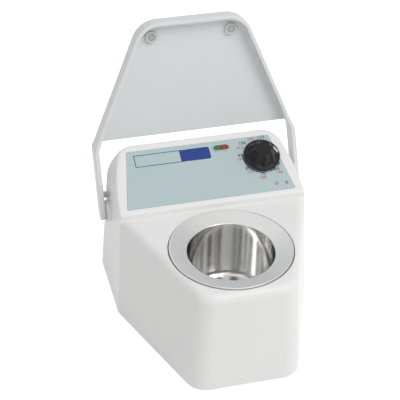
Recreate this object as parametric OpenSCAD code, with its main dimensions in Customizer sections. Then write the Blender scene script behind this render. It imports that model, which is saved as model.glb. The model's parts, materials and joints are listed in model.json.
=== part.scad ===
// Single-well block heater: a moulded housing with a sloping control panel,
// a turned heating pot clamped in its deck, and a tray-shaped lid that swings
// on two side arms. All sizes are in millimetres; +Z is up and -Y is the front.

/* [Housing] */
// Width of the housing at its foot, behind the taper
body_w = 120; // [116:1:132]
// Length of the housing at its foot
body_l = 133; // [130:1:142]
// Height of the deck around the well
deck_h = 68; // [66:1:76]
// Height of the rear top edge
housing_h = 89; // [87:1:93]
// Width of the front face, measured to its sharp corners
front_w = 61.4; // [58:0.2:66]
// Length of the tapered front part at its foot
taper_l = 77; // [74:1:80]
// Wall thickness of the moulding
wall = 2.5; // [2:0.1:3]
// Draft angle of the walls
draft = 2.8; // [2:0.1:3.2]
// Lean of the side corner where the taper ends
kink_lean = 5; // [3:0.5:6]
// Radius of the two front corners
front_corner_r = 13; // [10:0.5:15]
// Radius of the two rear corners
rear_corner_r = 7; // [5:0.5:8]
// Radius of the edge round the deck
deck_edge_r = 5; // [4:0.5:6]
// Height of the lower edge above the bench
foot_h = 2; // [1.5:0.5:3]

/* [Control panel] */
// Slope of the panel
panel_angle = 22.2; // [20:0.1:24]
// Height of the step between deck and panel
step_h = 3; // [2.6:0.1:4]
// Radius of the shoulders beside the panel
shoulder_r = 23; // [18:1:26]
// Height above the deck where the shoulders begin
shoulder_rise = 2; // [0:0.5:4]
// Width of the label along its upper edge
label_w_top = 89; // [80:1:90]
// Width of the label along its lower edge
label_w_low = 103.6; // [98:0.2:105]
// Distance of the label from the foot of the panel
label_start = 3.4; // [3:0.1:4.5]
// Distance of the label from the rear end of the panel
label_end = 6.4; // [5.5:0.1:8]
// Thickness of the label
label_t = 0.4; // [0.3:0.1:0.6]

/* [Well] */
// Distance of the well's axis behind the front face
well_setback = 44; // [42:0.5:48]
// Bore of the well
well_d = 50.6; // [46:0.2:54]
// Depth of the well below its mouth
well_depth = 38; // [30:1:42]
// Outer diameter of the funnel ring
ring_d = 72; // [68:0.5:73]
// Height of the ring's rim above the deck
ring_proud = 0.5; // [0:0.1:1]
// Drop of the funnel from rim to mouth
funnel_drop = 2.9; // [2:0.1:3.2]
// Width of the ring's flat land
land_w = 0.8; // [0.5:0.1:1.5]
// Wall of the pot
pot_wall = 2.2; // [1.8:0.1:3]
// Floor of the pot
pot_floor = 4; // [3.6:0.1:6]
// Thickness of the seal under the ring
gasket_t = 1; // [0.6:0.1:1.5]
// Gap between the ring and the deck
ring_gap = 0.6; // [0.4:0.1:1]

/* [Controls] */
// Knob position right of the middle
knob_x = 36.8; // [34:0.2:38]
// Distance of the knob's middle from the label's upper edge
knob_down = 14.6; // [13.6:0.2:16]
// Diameter of the knob's skirt
knob_d = 22.4; // [21:0.2:24]
// Height of the knob above the label
knob_h = 8.6; // [8:0.1:9.5]
// Flutes round the knob
knob_flutes = 8; // [6:1:12]
// Diameter of the control shaft
shaft_d = 6; // [5:0.1:6.4]
// Indicator position right of the middle
lamp_x = 13.4; // [10:0.2:16]
// Distance of the indicator's middle from the label's upper edge
lamp_down = 5; // [4:0.2:7]
// Length of the indicator window
lamp_l = 10.4; // [9:0.2:12]
// Width of the indicator window
lamp_w = 4.6; // [4:0.1:5.4]

/* [Lid] */
// Thickness of the lid's plate
lid_t = 2; // [1.6:0.1:3]
// Thickness of the lid's rim
lid_wall = 2.6; // [2:0.1:3]
// Height of the lid's rim
lid_rim = 10; // [8:0.5:12]
// Radius of the lid's front corners
lid_corner_r = 16; // [12:0.5:18]
// Radius of the lid's upper edge
lid_edge_r = 2.2; // [1:0.1:2.4]
// Height of the closed plate above the deck
lid_clear = 2.6; // [2.2:0.1:4]
// Gap between the closed rim and the housing
lid_gap = 1.1; // [0.8:0.1:2]
// Thickness of the arms
arm_t = 2.9; // [2.4:0.1:3.5]
// Depth of the arms
arm_w = 10.5; // [9:0.5:12]
// Slope of the arms when the lid is closed
arm_slope = 19; // [16:0.5:21]
// Distance of the hinge ahead of the rear face
hinge_setback = 20; // [18:0.5:22]
// Height of the hinge above the bench
hinge_h = 53; // [51:0.5:55]
// Length of the arms from hinge to bend
arm_l = 36; // [35:0.5:38]
// Space between the plate's rear edge and the bend
plate_back = 2.5; // [1.5:0.1:4]
// Backward tilt of the open lid
open_tilt = 9; // [6:0.5:12]
// Gap between arm and housing at the hinge
hinge_gap = 2.9; // [2.4:0.1:3.5]
// Diameter of the hinge stubs
stub_d = 6; // [5:0.5:7]

/* [Rear] */
// Inlet position right of the middle
inlet_x = -22; // [-26:1:-18]
// Inlet height above the lower edge
inlet_rise = 24; // [20:1:30]
// Switch position right of the middle
switch_x = 28; // [24:1:32]
// Switch height above the lower edge
switch_rise = 24; // [20:1:30]
// Tilt of the rocker to either side
rocker_tilt = 8; // [6:0.5:10]

/* [Base] */
// Thickness of the base plate
base_t = 2; // [1.5:0.1:3]
// Recess of the base plate in the housing
base_recess = 1; // [0.5:0.1:2]
// Diameter of the feet
foot_d = 14; // [12:0.5:15]
// Slots in the base plate
vent_count = 7; // [3:2:9]

/* [Hidden] */

$fn = 96;
eps = 0.01;
slack = 0.05;            // radial clearance of a running or screwed fit
seat = 0.1;              // clearance round pieces that drop into a place
arc_steps = 7;           // facets of a front corner
rear_steps = 4;          // facets of a rear corner
slope_steps = 6;         // rows of facets up the panel
ease = 0.8;              // flat that breaks the side corners
lid_travel = 90 + open_tilt;

// the hinge and the lid, measured from the hinge axis
rim_low = deck_h + lid_clear + lid_t - lid_rim;
lid_front = (rim_low - foot_h)*tan(draft) - lid_gap - lid_wall
            - (body_l - hinge_setback);
plate_in = deck_h + lid_clear - hinge_h;
lid_top = plate_in + lid_t;
bend = -arm_l;
plate_rear = bend - plate_back;
lid_back_reach = lid_front*cos(lid_travel) + lid_top*sin(lid_travel)
                 + lid_edge_r*(cos(lid_travel) - sin(lid_travel) + 1);

// the origin is midway between the front face and the open lid's rear
front_y = -(body_l - hinge_setback + lid_back_reach)/2;
well_y = front_y + well_setback;
hinge_y = front_y + body_l - hinge_setback;

// walls of the housing, each a function of height
function side_x(z) = body_w/2 - (z - foot_h)*tan(draft);
function front_x(z) = front_w/2 - (z - foot_h)*tan(draft);
function face_y(z) = front_y + (z - foot_h)*tan(draft);
function back_y(z) = front_y + body_l - (z - foot_h)*tan(draft);
function kink_y(z) = front_y + taper_l + (z - foot_h)*tan(kink_lean);
function taper_a(z) = atan((side_x(z) - front_x(z))/(kink_y(z) - face_y(z)));

// the panel
step_y = kink_y(deck_h);
panel_z = deck_h + step_h;
shoulder_z = deck_h + shoulder_rise;
panel_l = (back_y(housing_h) - step_y)/cos(panel_angle);
label_l = panel_l - label_start - label_end;
knob_s = label_start + label_l - knob_down;
lamp_s = label_start + label_l - lamp_down;
function panel_at(y, t) = panel_z + (y - step_y)*tan(panel_angle) - t/cos(panel_angle);
function shoulder_x(z, t) = z <= shoulder_z ? side_x(z) - t
  : side_x(shoulder_z) - shoulder_r + sqrt(pow(shoulder_r - t, 2) - pow(z - shoulder_z, 2));

// the pot and what clamps it, from the rim down
rim_z = deck_h + ring_proud;
mouth_z = rim_z - funnel_drop;
well_r = well_d/2;
well_floor_z = mouth_z - well_depth;
pot_base_z = well_floor_z - pot_floor;
pot_r = well_r + pot_wall;
thread_r = pot_r + 1;
ring_r = ring_d/2;
ring_t = 1;                               // least thickness of the ring
ring_low_z = mouth_z - ring_t;
ledge_z = ring_low_z - gasket_t;
ledge_t = 2.7;
ledge_r = thread_r + 2.2;                 // hole through the ledge
washer_t = 0.6;
nut_t = 3.4;
nut_r = thread_r + 6.8;
pocket_r = ring_r + ring_gap;
pocket_wall = 2.2;
band_t = 2.2;
band_low = well_floor_z + 3;
band_high = ledge_z - ledge_t - washer_t - nut_t - 4;
band_gap = 9;
ear_t = 1.2;
ear_r = pot_r + band_t + 8;
bulb_r = 2;
cutoff_r = 8;

// the base
plate_z = foot_h + base_recess;
plate_top = plate_z + base_t;
post_r = 4;
post_h = 20;
m3_r = 1.5;
head_r = 3;
head_t = 1.6;
foot_web = 0.8;
post_in = wall + foot_d/2 + 1;            // post axis inside the outer wall
post_high = plate_top + post_h;
rear_posts = [for (s = [-1, 1])
  [s*(side_x(plate_z) - post_in), back_y(plate_z) - rear_corner_r - 6]];
front_posts = [for (s = [-1, 1])
  [s*(front_x(plate_z) - foot_d/2 - 3), face_y(plate_z) + post_in]];
posts = concat(rear_posts, front_posts);

// the controls
knob_r = knob_d/2;
shaft_r = shaft_d/2;
bush_r = shaft_r + 2;
bush_top = 2.4;
gang_nut_t = 1.7;
body_x = 24;
body_s = 22;
body_low = -wall - 13;
knob_clear = 0.5;
cap_h = gang_nut_t + 1.4;                 // roof of the space under the knob
insert_r = shaft_r + 1.2;
flute_r = 2.6;
flute_lean = atan((9.4 - 6.5)/(knob_h - 0.9 - 2.6));
board_h = -9.5;
board_t = 1.2;
led_r = 1.5;

// the hinge
arm_in = side_x(hinge_h) + hinge_gap;
arm_out = arm_in + arm_t;
arm_r = arm_w/2;
stub_r = stub_d/2;
boss_r = stub_r + 3.5;
boss_out = arm_in - 0.6;
boss_in = side_x(hinge_h) - wall - 1.6;
clip_t = 1;
groove_r = stub_r - 0.8;
stub_in = boss_in - clip_t - 1.6;
stop_r = 2;
stop_reach = 9;
bumper_x = 24.3;
bumper_y = bend - 67;
bumper_r = 3.7;
bumper_h = lid_clear - 0.2;

// ---- shared forms ----

// closed solid through a list of rings with the same number of points, with its
// facets mirrored left and right; domed closes the last ring round its middle
module loft(rings, domed = false) {
  n = len(rings[0]);
  m = len(rings);
  last = rings[m - 1];
  middle = [for (k = [0:2]) sum([for (p = last) p[k]])/n];
  top = (m - 1)*n;
  polyhedron(
    points = concat([for (r = rings) each r], domed ? [middle] : []),
    faces = concat(
      [[for (i = [0:n - 1]) i]],
      [for (j = [0:m - 2], i = [0:n - 1], s = [0, 1])
        let (a = j*n + i, b = j*n + (i + 1)%n, right = 2*i < n - 1)
        s == 0 ? [a, a + n, right ? b : b + n] : [right ? a + n : a, b + n, b]],
      domed ? [for (i = [0:n - 1]) [top + (i + 1)%n, top + i, top + n]]
            : [[for (i = [n - 1:-1:0]) top + i]]));
}

function sum(v, i = 0) = i < len(v) ? v[i] + sum(v, i + 1) : 0;

// ring from its right half
function both(half) = concat(half, [for (i = [len(half) - 1:-1:0])
  [-half[i][0], half[i][1], half[i][2]]]);

function arc(c, r, a0, a1, n) = [for (i = [0:n]) let (a = a0 + (a1 - a0)*i/n)
  c + r*[cos(a), sin(a)]];

function lift(points, z) = [for (p = points) [p[0], p[1], z]];

function corner_c(z) = let (a = taper_a(z))
  [front_x(z) - front_corner_r*(1 - sin(a))/cos(a), face_y(z) + front_corner_r];

function rear_arc(x, y, r, start = 0) = arc([x - r, y - r], r, start, 90, rear_steps);

// right half of the outline at height z, t inside the walls and d more inside the front part
function low_half(z, t, d) =
  let (a = taper_a(z), c = corner_c(z), r = front_corner_r - t - d,
       e = c + r*[cos(a), -sin(a)], k = kink_y(z) + t*tan(a/2))
  lift(concat(arc(c, r, -90, -a, arc_steps),
    [[e[0] + (k - ease - e[1])*tan(a), k - ease], [side_x(z) - t, k + ease]],
    rear_arc(side_x(z) - t, back_y(z) - t, rear_corner_r - t)), z);

// right half of a row that crosses the panel at y; the rear of the row lies at z_back, a
// cut shortens the stretch across the panel, and near the rear the corner cuts into it
function high_half(y, z, z_back, t, d, cut = ease) =
  let (side = shoulder_x(z_back, t) - d, rear = back_y(z_back) - t - d, r = rear_corner_r - t,
       a = asin(max(0, min(1, (y + ease - rear + r)/r))), h = side - r*(1 - cos(a)),
       start = a > 0 ? a + (90 - a)/(2*rear_steps) : 0)
  concat([for (i = [1:arc_steps + 1]) [(h - cut)*i/(arc_steps + 2), y, z]],
    [[h - cut, y, z], [h, y + ease, z_back]],
    lift(rear_arc(side, rear, r, start), z_back));

// the housing's form, t inside its outer faces
function form(t, low) =
  let (r = deck_edge_r - t, y0 = step_y + t + 1.8,
       y1 = back_y(housing_h) - t - 1.9, top_in = 0.9)
  concat(
    [both(low_half(low, t, 0)), both(low_half(deck_h - deck_edge_r, t, 0))],
    [for (a = [22.5:22.5:90])
      both(low_half(deck_h - deck_edge_r + r*sin(a), t, r*(1 - cos(a))))],
    [both(high_half(step_y + t, deck_h - t, deck_h - t + ease, t, 0, r))],
    [for (p = [[0.2, 1.4], [0.7, 0.35]]) let (z = panel_z - p[1] - t)
      both(high_half(step_y + p[0] + t, z, z, t, 0))],
    [for (i = [0:slope_steps - 1])
      let (y = y0 + (y1 - 1 - y0)*i/(slope_steps - 1), z = panel_at(y, t))
      both(high_half(y, z, z, t, 0))],
    [both(high_half(y1, panel_at(y1, t), panel_at(y1, t), t, top_in))]);

module at_well(z = 0) translate([0, well_y, z]) children();

module on_panel(x, s, h = 0)
  translate([0, step_y, panel_z]) rotate([panel_angle, 0, 0]) translate([x, s, h]) children();

function panel_point(x, s, h) = [x, step_y + s*cos(panel_angle) - h*sin(panel_angle),
  panel_z + s*sin(panel_angle) + h*cos(panel_angle)];

// on the rear wall: y = 0 is its outer face and z runs up it
module on_back(x, rise)
  translate([x, back_y(foot_h), foot_h]) rotate([draft, 0, 0]) translate([0, 0, rise]) children();

// the lid's own frame, turned from its closed place to its open one
module on_lid() translate([0, hinge_y, hinge_h]) rotate([-lid_travel, 0, 0]) children();

module both_sides() for (s = [0, 1]) mirror([s, 0, 0]) children();

module across(x0, x1, r) translate([x0, 0, 0]) rotate([0, 90, 0]) cylinder(r = r, h = x1 - x0);

module pipe(r_out, r_in, h) difference() {
  cylinder(r = r_out, h = h);
  translate([0, 0, -1]) cylinder(r = r_in, h = h + 2);
}

module block(w, d, h) translate([-w/2, -d/2, 0]) cube([w, d, h]);

// flat shape with round ends
module slot2d(l, w) {
  square([l - w, w], center = true);
  for (s = [-1, 1]) translate([s*(l - w)/2, 0]) circle(d = w, $fn = 48);
}

// corner arcs for a convex outline, anticlockwise
function rounded(p, r, n = 5) = [for (i = [0:len(p) - 1])
  let (b = p[i], u = unit(p[(i + len(p) - 1)%len(p)] - b), v = unit(p[(i + 1)%len(p)] - b),
       h = acos(u*v)/2, m = unit(u + v), c = b + m*r/sin(h),
       s = atan2(-m[1], -m[0])) each arc(c, r, s - (90 - h), s + (90 - h), n)];
function unit(v) = v/norm(v);

// round rod along a smooth line through the points
function curve(p, k) = [for (i = [0:len(p) - 2], j = [0:k - 1])
    let (q = [p[max(i - 1, 0)], p[i], p[i + 1], p[min(i + 2, len(p) - 1)]], u = j/k)
    (2*q[1] + (q[2] - q[0])*u + (2*q[0] - 5*q[1] + 4*q[2] - q[3])*u*u
      + (3*q[1] - q[0] - 3*q[2] + q[3])*u*u*u)/2];

module rod(p, r, k = 4, sides = 8) {
  line = concat(curve(p, k), [p[len(p) - 1]]);
  n = len(line);
  loft([for (i = [0:n - 1])
    let (t = unit(line[min(i + 1, n - 1)] - line[max(i - 1, 0)]),
         a = unit(cross(t, abs(t[1]) < 0.8 ? [0, 1, 0] : [1, 0, 0])), b = cross(t, a))
    [for (j = [0:sides - 1]) line[i] + r*(cos(360*j/sides)*a + sin(360*j/sides)*b)]]);
}

module screw(r, l) {
  translate([0, 0, -l]) cylinder(r = r, h = l, $fn = 32);
  difference() {
    cylinder(r = 2*r, h = head_t, $fn = 32);
    for (a = [0, 90]) rotate(a) translate([-1.4*r, -0.3, head_t - 0.7]) cube([2.8*r, 0.6, 1]);
  }
}

// ---- housing and base ----

label_outline = [[-label_w_low/2, label_start], [label_w_low/2, label_start],
  [label_w_top/2, label_start + label_l], [-label_w_top/2, label_start + label_l]];

module label_shape(grow = 0)
  polygon(rounded([for (p = label_outline) [p[0] + sign(p[0])*grow,
    p[1] + sign(p[1] - label_start - label_l/2)*grow]], 2.5 + grow));

module stop_place()
  let (a = 180 - arm_slope - lid_travel, off = arm_r + stop_r + seat)
  translate([0, hinge_y + stop_reach*cos(a) + off*sin(a),
             hinge_h + stop_reach*sin(a) - off*cos(a)]) children();

board_posts = [-8.7, 8.7];
inlet_w = 27;
inlet_d = 19.6;
switch_w = 13;
switch_l = 19.4;

module housing() {
  color("whitesmoke") difference() {
    union() {
      difference() {
        loft(form(0, foot_h), domed = true);
        loft(form(wall, foot_h - 1), domed = true);
      }
      at_well(ledge_z - ledge_t) cylinder(r = pocket_r + pocket_wall, h = deck_h - 2.3 - ledge_z + ledge_t);
      for (p = posts) translate([p[0], p[1], plate_top]) cylinder(r = post_r, h = post_h, $fn = 48);
      for (p = rear_posts) mirror([p[0] < 0 ? 1 : 0, 0, 0])
        translate([abs(p[0]), p[1] - 1, plate_top])
          cube([side_x(post_high) - 0.6 - abs(p[0]), 2, post_h]);
      for (p = front_posts) translate([p[0] - 1, face_y(post_high) + 0.6, plate_top])
        cube([2, p[1] - face_y(post_high) - 0.6, post_h]);
      both_sides() {
        translate([0, hinge_y, hinge_h]) across(boss_in, boss_out, boss_r);
        stop_place() across(side_x(hinge_h) - wall, arm_in + 1.6, stop_r);
      }
      for (x = board_posts) on_panel(lamp_x + x, lamp_s - 0.4, board_h + board_t)
        cylinder(r = 2.2, h = -board_h - board_t - wall/2, $fn = 32);
    }
    at_well() {
      translate([0, 0, ledge_z]) cylinder(r = pocket_r, h = 20);
      translate([0, 0, ledge_z - 10]) cylinder(r = ledge_r, h = 20);
    }
    for (p = posts) translate([p[0], p[1], plate_top - 1])
      cylinder(r = m3_r + slack, h = 12, $fn = 32);
    both_sides() translate([0, hinge_y, hinge_h]) across(boss_in - 2, boss_out + 2, stub_r + slack);
    on_panel(0, 0, -label_t) linear_extrude(2) label_shape(0.15);
    on_panel(knob_x, knob_s, -wall - 2) cylinder(r = bush_r + seat, h = 6, $fn = 48);
    on_panel(lamp_x, lamp_s, -wall - 2) linear_extrude(6) slot2d(lamp_l + 0.2, lamp_w + 0.2);
    for (x = board_posts) on_panel(lamp_x + x, lamp_s - 0.4, board_h + board_t - 1)
      cylinder(r = 1 + slack, h = 5, $fn = 32);
    on_back(inlet_x, inlet_rise) {
      translate([0, -5, 0]) rotate([-90, 0, 0]) linear_extrude(10)
        square([inlet_w + 0.4, inlet_d + 0.4], center = true);
      for (s = [-1, 1]) translate([s*20, -5, 0]) rotate([-90, 0, 0])
        cylinder(r = m3_r + seat, h = 10, $fn = 32);
    }
    on_back(switch_x, switch_rise) translate([0, -5, 0]) rotate([-90, 0, 0]) linear_extrude(10)
      square([switch_w + 0.4, switch_l + 0.4], center = true);
  }
}

module base_plate() {
  color("silver") difference() {
    translate([0, 0, plate_z]) linear_extrude(base_t)
      polygon([for (p = both(low_half(plate_z, wall + 0.3, 0))) [p[0], p[1]]]);
    for (p = posts) translate([p[0], p[1], plate_z - 1]) cylinder(r = m3_r + seat, h = base_t + 2, $fn = 32);
    for (i = [0:vent_count - 1])
      translate([0, well_y + (i - (vent_count - 1)/2)*7, plate_z - 1])
        linear_extrude(base_t + 2) slot2d(34, 3);
    translate([earth_x, earth_y, plate_z - 1]) cylinder(r = 2 + seat, h = base_t + 2, $fn = 32);
    for (s = [-1, 1]) translate([block_x + s*10, block_y, plate_z - 1])
      cylinder(r = m3_r + seat, h = base_t + 2, $fn = 32);
  }
}

module feet() {
  color("dimgray") for (p = posts) translate([p[0], p[1], 0]) difference() {
    rotate_extrude() polygon([[0, 0.6], [0, plate_z], [foot_d/2, plate_z], [foot_d/2, 1],
      [foot_d/2 - 1, 0], [head_r + 0.8, 0], [head_r + 0.3, 0.6]]);
    translate([0, 0, -1]) cylinder(r = head_r + 0.3, h = plate_z - foot_web + 1, $fn = 32);
    cylinder(r = m3_r + seat, h = plate_z + 1, $fn = 32);
  }
}

module base_screws() {
  color("gray") for (p = posts) translate([p[0], p[1], plate_z - foot_web]) mirror([0, 0, 1]) screw(m3_r, 11);
}

// ---- control panel ----

module control_label() {
  color("#b8c8c8") on_panel(0, 0, -label_t) linear_extrude(label_t) difference() {
    label_shape();
    translate([knob_x, knob_s]) circle(r = bush_r + seat, $fn = 48);
    translate([lamp_x, lamp_s]) slot2d(lamp_l + 0.2, lamp_w + 0.2);
  }
}

lens_low = -wall - 1;
lens_w = lamp_w - 1.2;
lens_l = lamp_l - 1.2;

module indicator_bezel() {
  color("gainsboro") on_panel(lamp_x, lamp_s) difference() {
    union() {
      translate([0, 0, lens_low]) linear_extrude(0.6 - lens_low) slot2d(lamp_l, lamp_w);
      translate([0, 0, lens_low]) linear_extrude(1) slot2d(lamp_l + 2, lamp_w + 2);
    }
    translate([0, 0, lens_low - 1]) linear_extrude(10) slot2d(lens_l + 2*seat, lens_w + 2*seat);
  }
}

module half_lens(side) on_panel(lamp_x, lamp_s, lens_low) linear_extrude(0.35 - lens_low)
  intersection() {
    slot2d(lens_l, lens_w);
    translate([side > 0 ? 0.05 : -20.05, -10]) square(20);
  }

module lens_green() color("limegreen") half_lens(-1);
module lens_red() color("crimson") half_lens(1);

module led_board() {
  color("darkgreen") on_panel(lamp_x, lamp_s - 0.4, board_h) difference() {
    block(22, 10, board_t);
    for (x = board_posts) translate([x, 0, -1]) cylinder(r = 1 + seat, h = 4, $fn = 32);
  }
}

module indicator_leds() {
  color("lightgray") for (s = [-1, 1]) on_panel(lamp_x + s*lens_l/4, lamp_s, board_h + board_t) {
    cylinder(r = led_r + 0.3, h = 0.8, $fn = 32);
    cylinder(r = led_r, h = 3, $fn = 32);
    translate([0, 0, 3]) sphere(r = led_r, $fn = 32);
  }
}

module board_screws() {
  color("silver") for (x = board_posts) on_panel(lamp_x + x, lamp_s - 0.4, board_h)
    mirror([0, 0, 1]) screw(1, 5);
}

module thermostat_body() {
  color("beige") on_panel(knob_x, knob_s) difference() {
    union() {
      translate([0, 0, body_low]) block(body_x, body_s, -wall - body_low);
      translate([0, 0, -wall]) cylinder(r = bush_r, h = wall + bush_top);
      for (x = [-body_x/4, body_x/4]) translate([x, 0, body_low - 5]) block(0.8, 6, 5);
    }
    translate([0, 0, -8]) cylinder(r = shaft_r + slack, h = 20);
    translate([0, 0, -9]) cylinder(r = bush_r - 0.7, h = 3);
  }
}

module thermostat_nut() {
  color("silver") on_panel(knob_x, knob_s) difference() {
    cylinder(r = bush_r + 2.7, h = gang_nut_t, $fn = 6);
    translate([0, 0, -1]) cylinder(r = bush_r + slack, h = 5);
  }
}

module thermostat_shaft() {
  color("silver") on_panel(knob_x, knob_s) {
    translate([0, 0, -7]) cylinder(r = shaft_r, h = 7 + knob_h - 1.8);
    translate([0, 0, -8.8]) cylinder(r = bush_r - 0.9, h = 2.6);
  }
}

// pointer and knob share this outline: skirt, cone and crown
function knob_outline(g) = [[0, knob_h + g], [5.6, knob_h - 0.2 + g], [6.5 + g, knob_h - 0.9],
  [9.4 + g, 2.6], [knob_r - 0.6 + g, 2 + g], [knob_r + g, 1.6], [knob_r + g, knob_clear]];

module pointer_place(w) rotate(3) translate([7.2, -w/2, 0]) cube([10, w, 20]);

module knob() {
  color("#2a2829") on_panel(knob_x, knob_s) difference() {
    rotate_extrude() polygon(concat([[0, knob_clear]], knob_outline(0)));
    translate([0, 0, -1]) cylinder(r = knob_r - 2.6, h = cap_h + 1);
    cylinder(r = insert_r + slack, h = knob_h - 1.3);
    for (i = [0:knob_flutes - 1]) rotate((i + 0.5)*360/knob_flutes)
      translate([9.4 + flute_r - 1.1, 0, 2.6]) rotate([0, -flute_lean, 0])
        cylinder(r = flute_r, h = 12, $fn = 32);
    intersection() {
      pointer_place(1.3);
      difference() {
        rotate_extrude() polygon(concat([[0, 1]], knob_outline(1)));
        rotate_extrude() polygon(concat([[0, 0]], knob_outline(-0.4)));
      }
    }
  }
}

module knob_pointer() {
  color("white") on_panel(knob_x, knob_s) intersection() {
    pointer_place(1.1);
    difference() {
      rotate_extrude() polygon(concat([[0, 1.2]], [for (p = knob_outline(0)) [p[0], max(p[1], 1.2)]]));
      rotate_extrude() polygon(concat([[0, 0]], knob_outline(-0.35)));
    }
  }
}

module knob_insert() {
  color("goldenrod") on_panel(knob_x, knob_s, cap_h) pipe(insert_r, shaft_r + slack, knob_h - 1.5 - cap_h);
}

// ---- heating pot ----

module heating_pot() {
  fillet = 3;
  color("silver") at_well() difference() {
    rotate_extrude($fn = 128) polygon(concat(
      [[0, pot_base_z], [pot_r - 1, pot_base_z], [pot_r, pot_base_z + 1],
       [pot_r, band_high + 1], [thread_r, band_high + 2], [thread_r, ring_low_z],
       [ring_r - 0.4, ring_low_z], [ring_r, ring_low_z + 0.4], [ring_r, rim_z - 0.4],
       [ring_r - 0.4, rim_z], [ring_r - land_w, rim_z], [well_r, mouth_z]],
      arc([well_r - fillet, well_floor_z + fillet], fillet, 0, -90, 5),
      [[0, well_floor_z]]));
    for (s = [-1, 1]) translate([s*cutoff_screw_x, 0, pot_base_z - 1])
      cylinder(r = m3_r + slack, h = 1 + pot_floor - 0.8, $fn = 32);
  }
}

module pot_gasket() {
  color("dimgray") at_well(ledge_z) pipe(ring_r + 0.3, ledge_r, gasket_t);
}

module insulating_washer() {
  color("tan") at_well(ledge_z - ledge_t - washer_t) pipe(nut_r, thread_r + seat, washer_t);
}

module pot_ring_nut() {
  color("silver") at_well(ledge_z - ledge_t - washer_t - nut_t) difference() {
    pipe(nut_r, thread_r + slack, nut_t);
    for (a = [45:90:359]) rotate(a) translate([nut_r, 0, -1]) block(5, 5, nut_t + 2);
  }
}

module heater_band() {
  ear_mid = (band_low + band_high)/2;
  color("#8c8c88") at_well() difference() {
    union() {
      translate([0, 0, band_low]) cylinder(r = pot_r + slack + band_t, h = band_high - band_low);
      for (s = [-1, 1]) translate([s*(band_gap + ear_t)/2, (pot_r + ear_r)/2, ear_mid - 5])
        block(ear_t, ear_r - pot_r, 10);
    }
    translate([0, 0, band_low - 1]) cylinder(r = pot_r + slack, h = band_high - band_low + 2);
    translate([0, ear_r/2 + 5, band_low - 1]) block(band_gap, ear_r + 10, band_high - band_low + 2);
    translate([0, ear_r - 3.5, ear_mid]) across(-10, 10, m3_r + seat, $fn = 32);
  }
}

module band_screw() {
  x = band_gap/2 + ear_t;
  color("silver") at_well() translate([x, ear_r - 3.5, (band_low + band_high)/2]) rotate([0, 90, 0]) {
    screw(m3_r, 2*x + 4);
    translate([0, 0, -2*x - 2.4]) difference() {
      cylinder(r = 3.2, h = 2.4, $fn = 6);
      translate([0, 0, -1]) cylinder(r = m3_r + slack, h = 5, $fn = 32);
    }
  }
}

module heater_terminals() {
  color("ivory") at_well((band_low + band_high)/2) difference() {
    for (a = [200, 220]) rotate(a) across(pot_r, pot_r + band_t + 6, 3, $fn = 32);
    cylinder(r = pot_r + slack + band_t + 0.02, h = 20, center = true);
  }
}

cutoff_screw_x = 17;

module thermal_cutoff() {
  color("tan") at_well() {
    translate([0, 0, pot_base_z - 3]) cylinder(r = cutoff_r, h = 3);
    translate([0, 0, pot_base_z - 9]) cylinder(r = cutoff_r - 1, h = 6);
    for (s = [-1, 1]) translate([s*3.5, 0, pot_base_z - 13]) block(0.8, 6, 4);
  }
}

module cutoff_bracket() {
  color("silver") at_well() difference() {
    union() {
      translate([0, 0, pot_base_z - 4]) block(28, 10, 1);
      both_sides() {
        translate([13.5, 0, pot_base_z - 4]) block(1, 10, 4);
        translate([cutoff_screw_x, 0, pot_base_z - 1]) block(8, 10, 1);
      }
    }
    translate([0, 0, pot_base_z - 5]) cylinder(r = cutoff_r - 1 + seat, h = 3);
    translate([0, 0, pot_base_z - 3]) cylinder(r = cutoff_r + seat, h = 4);
    both_sides() translate([cutoff_screw_x, 0, pot_base_z - 2]) cylinder(r = m3_r + seat, h = 4, $fn = 32);
  }
}

module cutoff_screws() {
  color("gray") at_well(pot_base_z - 1) both_sides() translate([cutoff_screw_x, 0, 0])
    mirror([0, 0, 1]) screw(m3_r, pot_floor - 0.2);
}

band_out = pot_r + slack + band_t;

module sensor_bulb() {
  color("peru") at_well() translate([0, pot_r + bulb_r + seat, band_low]) {
    cylinder(r = bulb_r, h = band_high - band_low - 3, $fn = 32);
    translate([0, 0, band_high - band_low - 3]) cylinder(r = 1.2, h = 2, $fn = 32);
  }
}

module capillary_tube() {
  y = well_y + pot_r + bulb_r + seat;
  z = band_high - 0.9;
  color("peru") rod([[0, y, z], [0, y + 0.4, z + 1.6], [2, y + 5, z + 2.6], [12, y + 14, z + 2],
    [24, y + 20, z + 4], panel_point(knob_x - body_x/4, knob_s - body_s/2 - 1, body_low + 6)], 0.7);
}

// ---- mains side ----

module power_inlet() {
  color("#202022") on_back(inlet_x, inlet_rise) rotate([-90, 0, 0]) difference() {
    union() {
      linear_extrude(2.5) polygon(rounded([[-25, -11], [25, -11], [25, 11], [-25, 11]], 3));
      translate([0, 0, -20]) linear_extrude(20) square([inlet_w, inlet_d], center = true);
    }
    translate([0, 0, -15]) linear_extrude(20)
      polygon([[-12, -4], [-8.5, -8], [8.5, -8], [12, -4], [12, 8], [-12, 8]]);
    for (s = [-1, 1]) translate([s*20, 0, -1]) cylinder(r = m3_r + seat, h = 5, $fn = 32);
    for (p = inlet_pin_places) translate([p[0] - 1.1, p[1] - 2.1, -21]) cube([2.2, 4.2, 8]);
  }
}

inlet_pin_places = [[-7, 2], [7, 2], [0, -2]];

module inlet_pins() {
  color("silver") on_back(inlet_x, inlet_rise) rotate([-90, 0, 0])
    for (p = inlet_pin_places) {
      translate([p[0] - 1, p[1] - 2, -20]) cube([2, 4, 20.5]);
      translate([p[0] - 0.4, p[1] - 2, -27]) cube([0.8, 4, 7]);
    }
}

module inlet_screws() {
  color("gray") on_back(inlet_x, inlet_rise) rotate([-90, 0, 0])
    for (s = [-1, 1]) translate([s*20, 0, 2.5]) screw(m3_r, 9);
}

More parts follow.
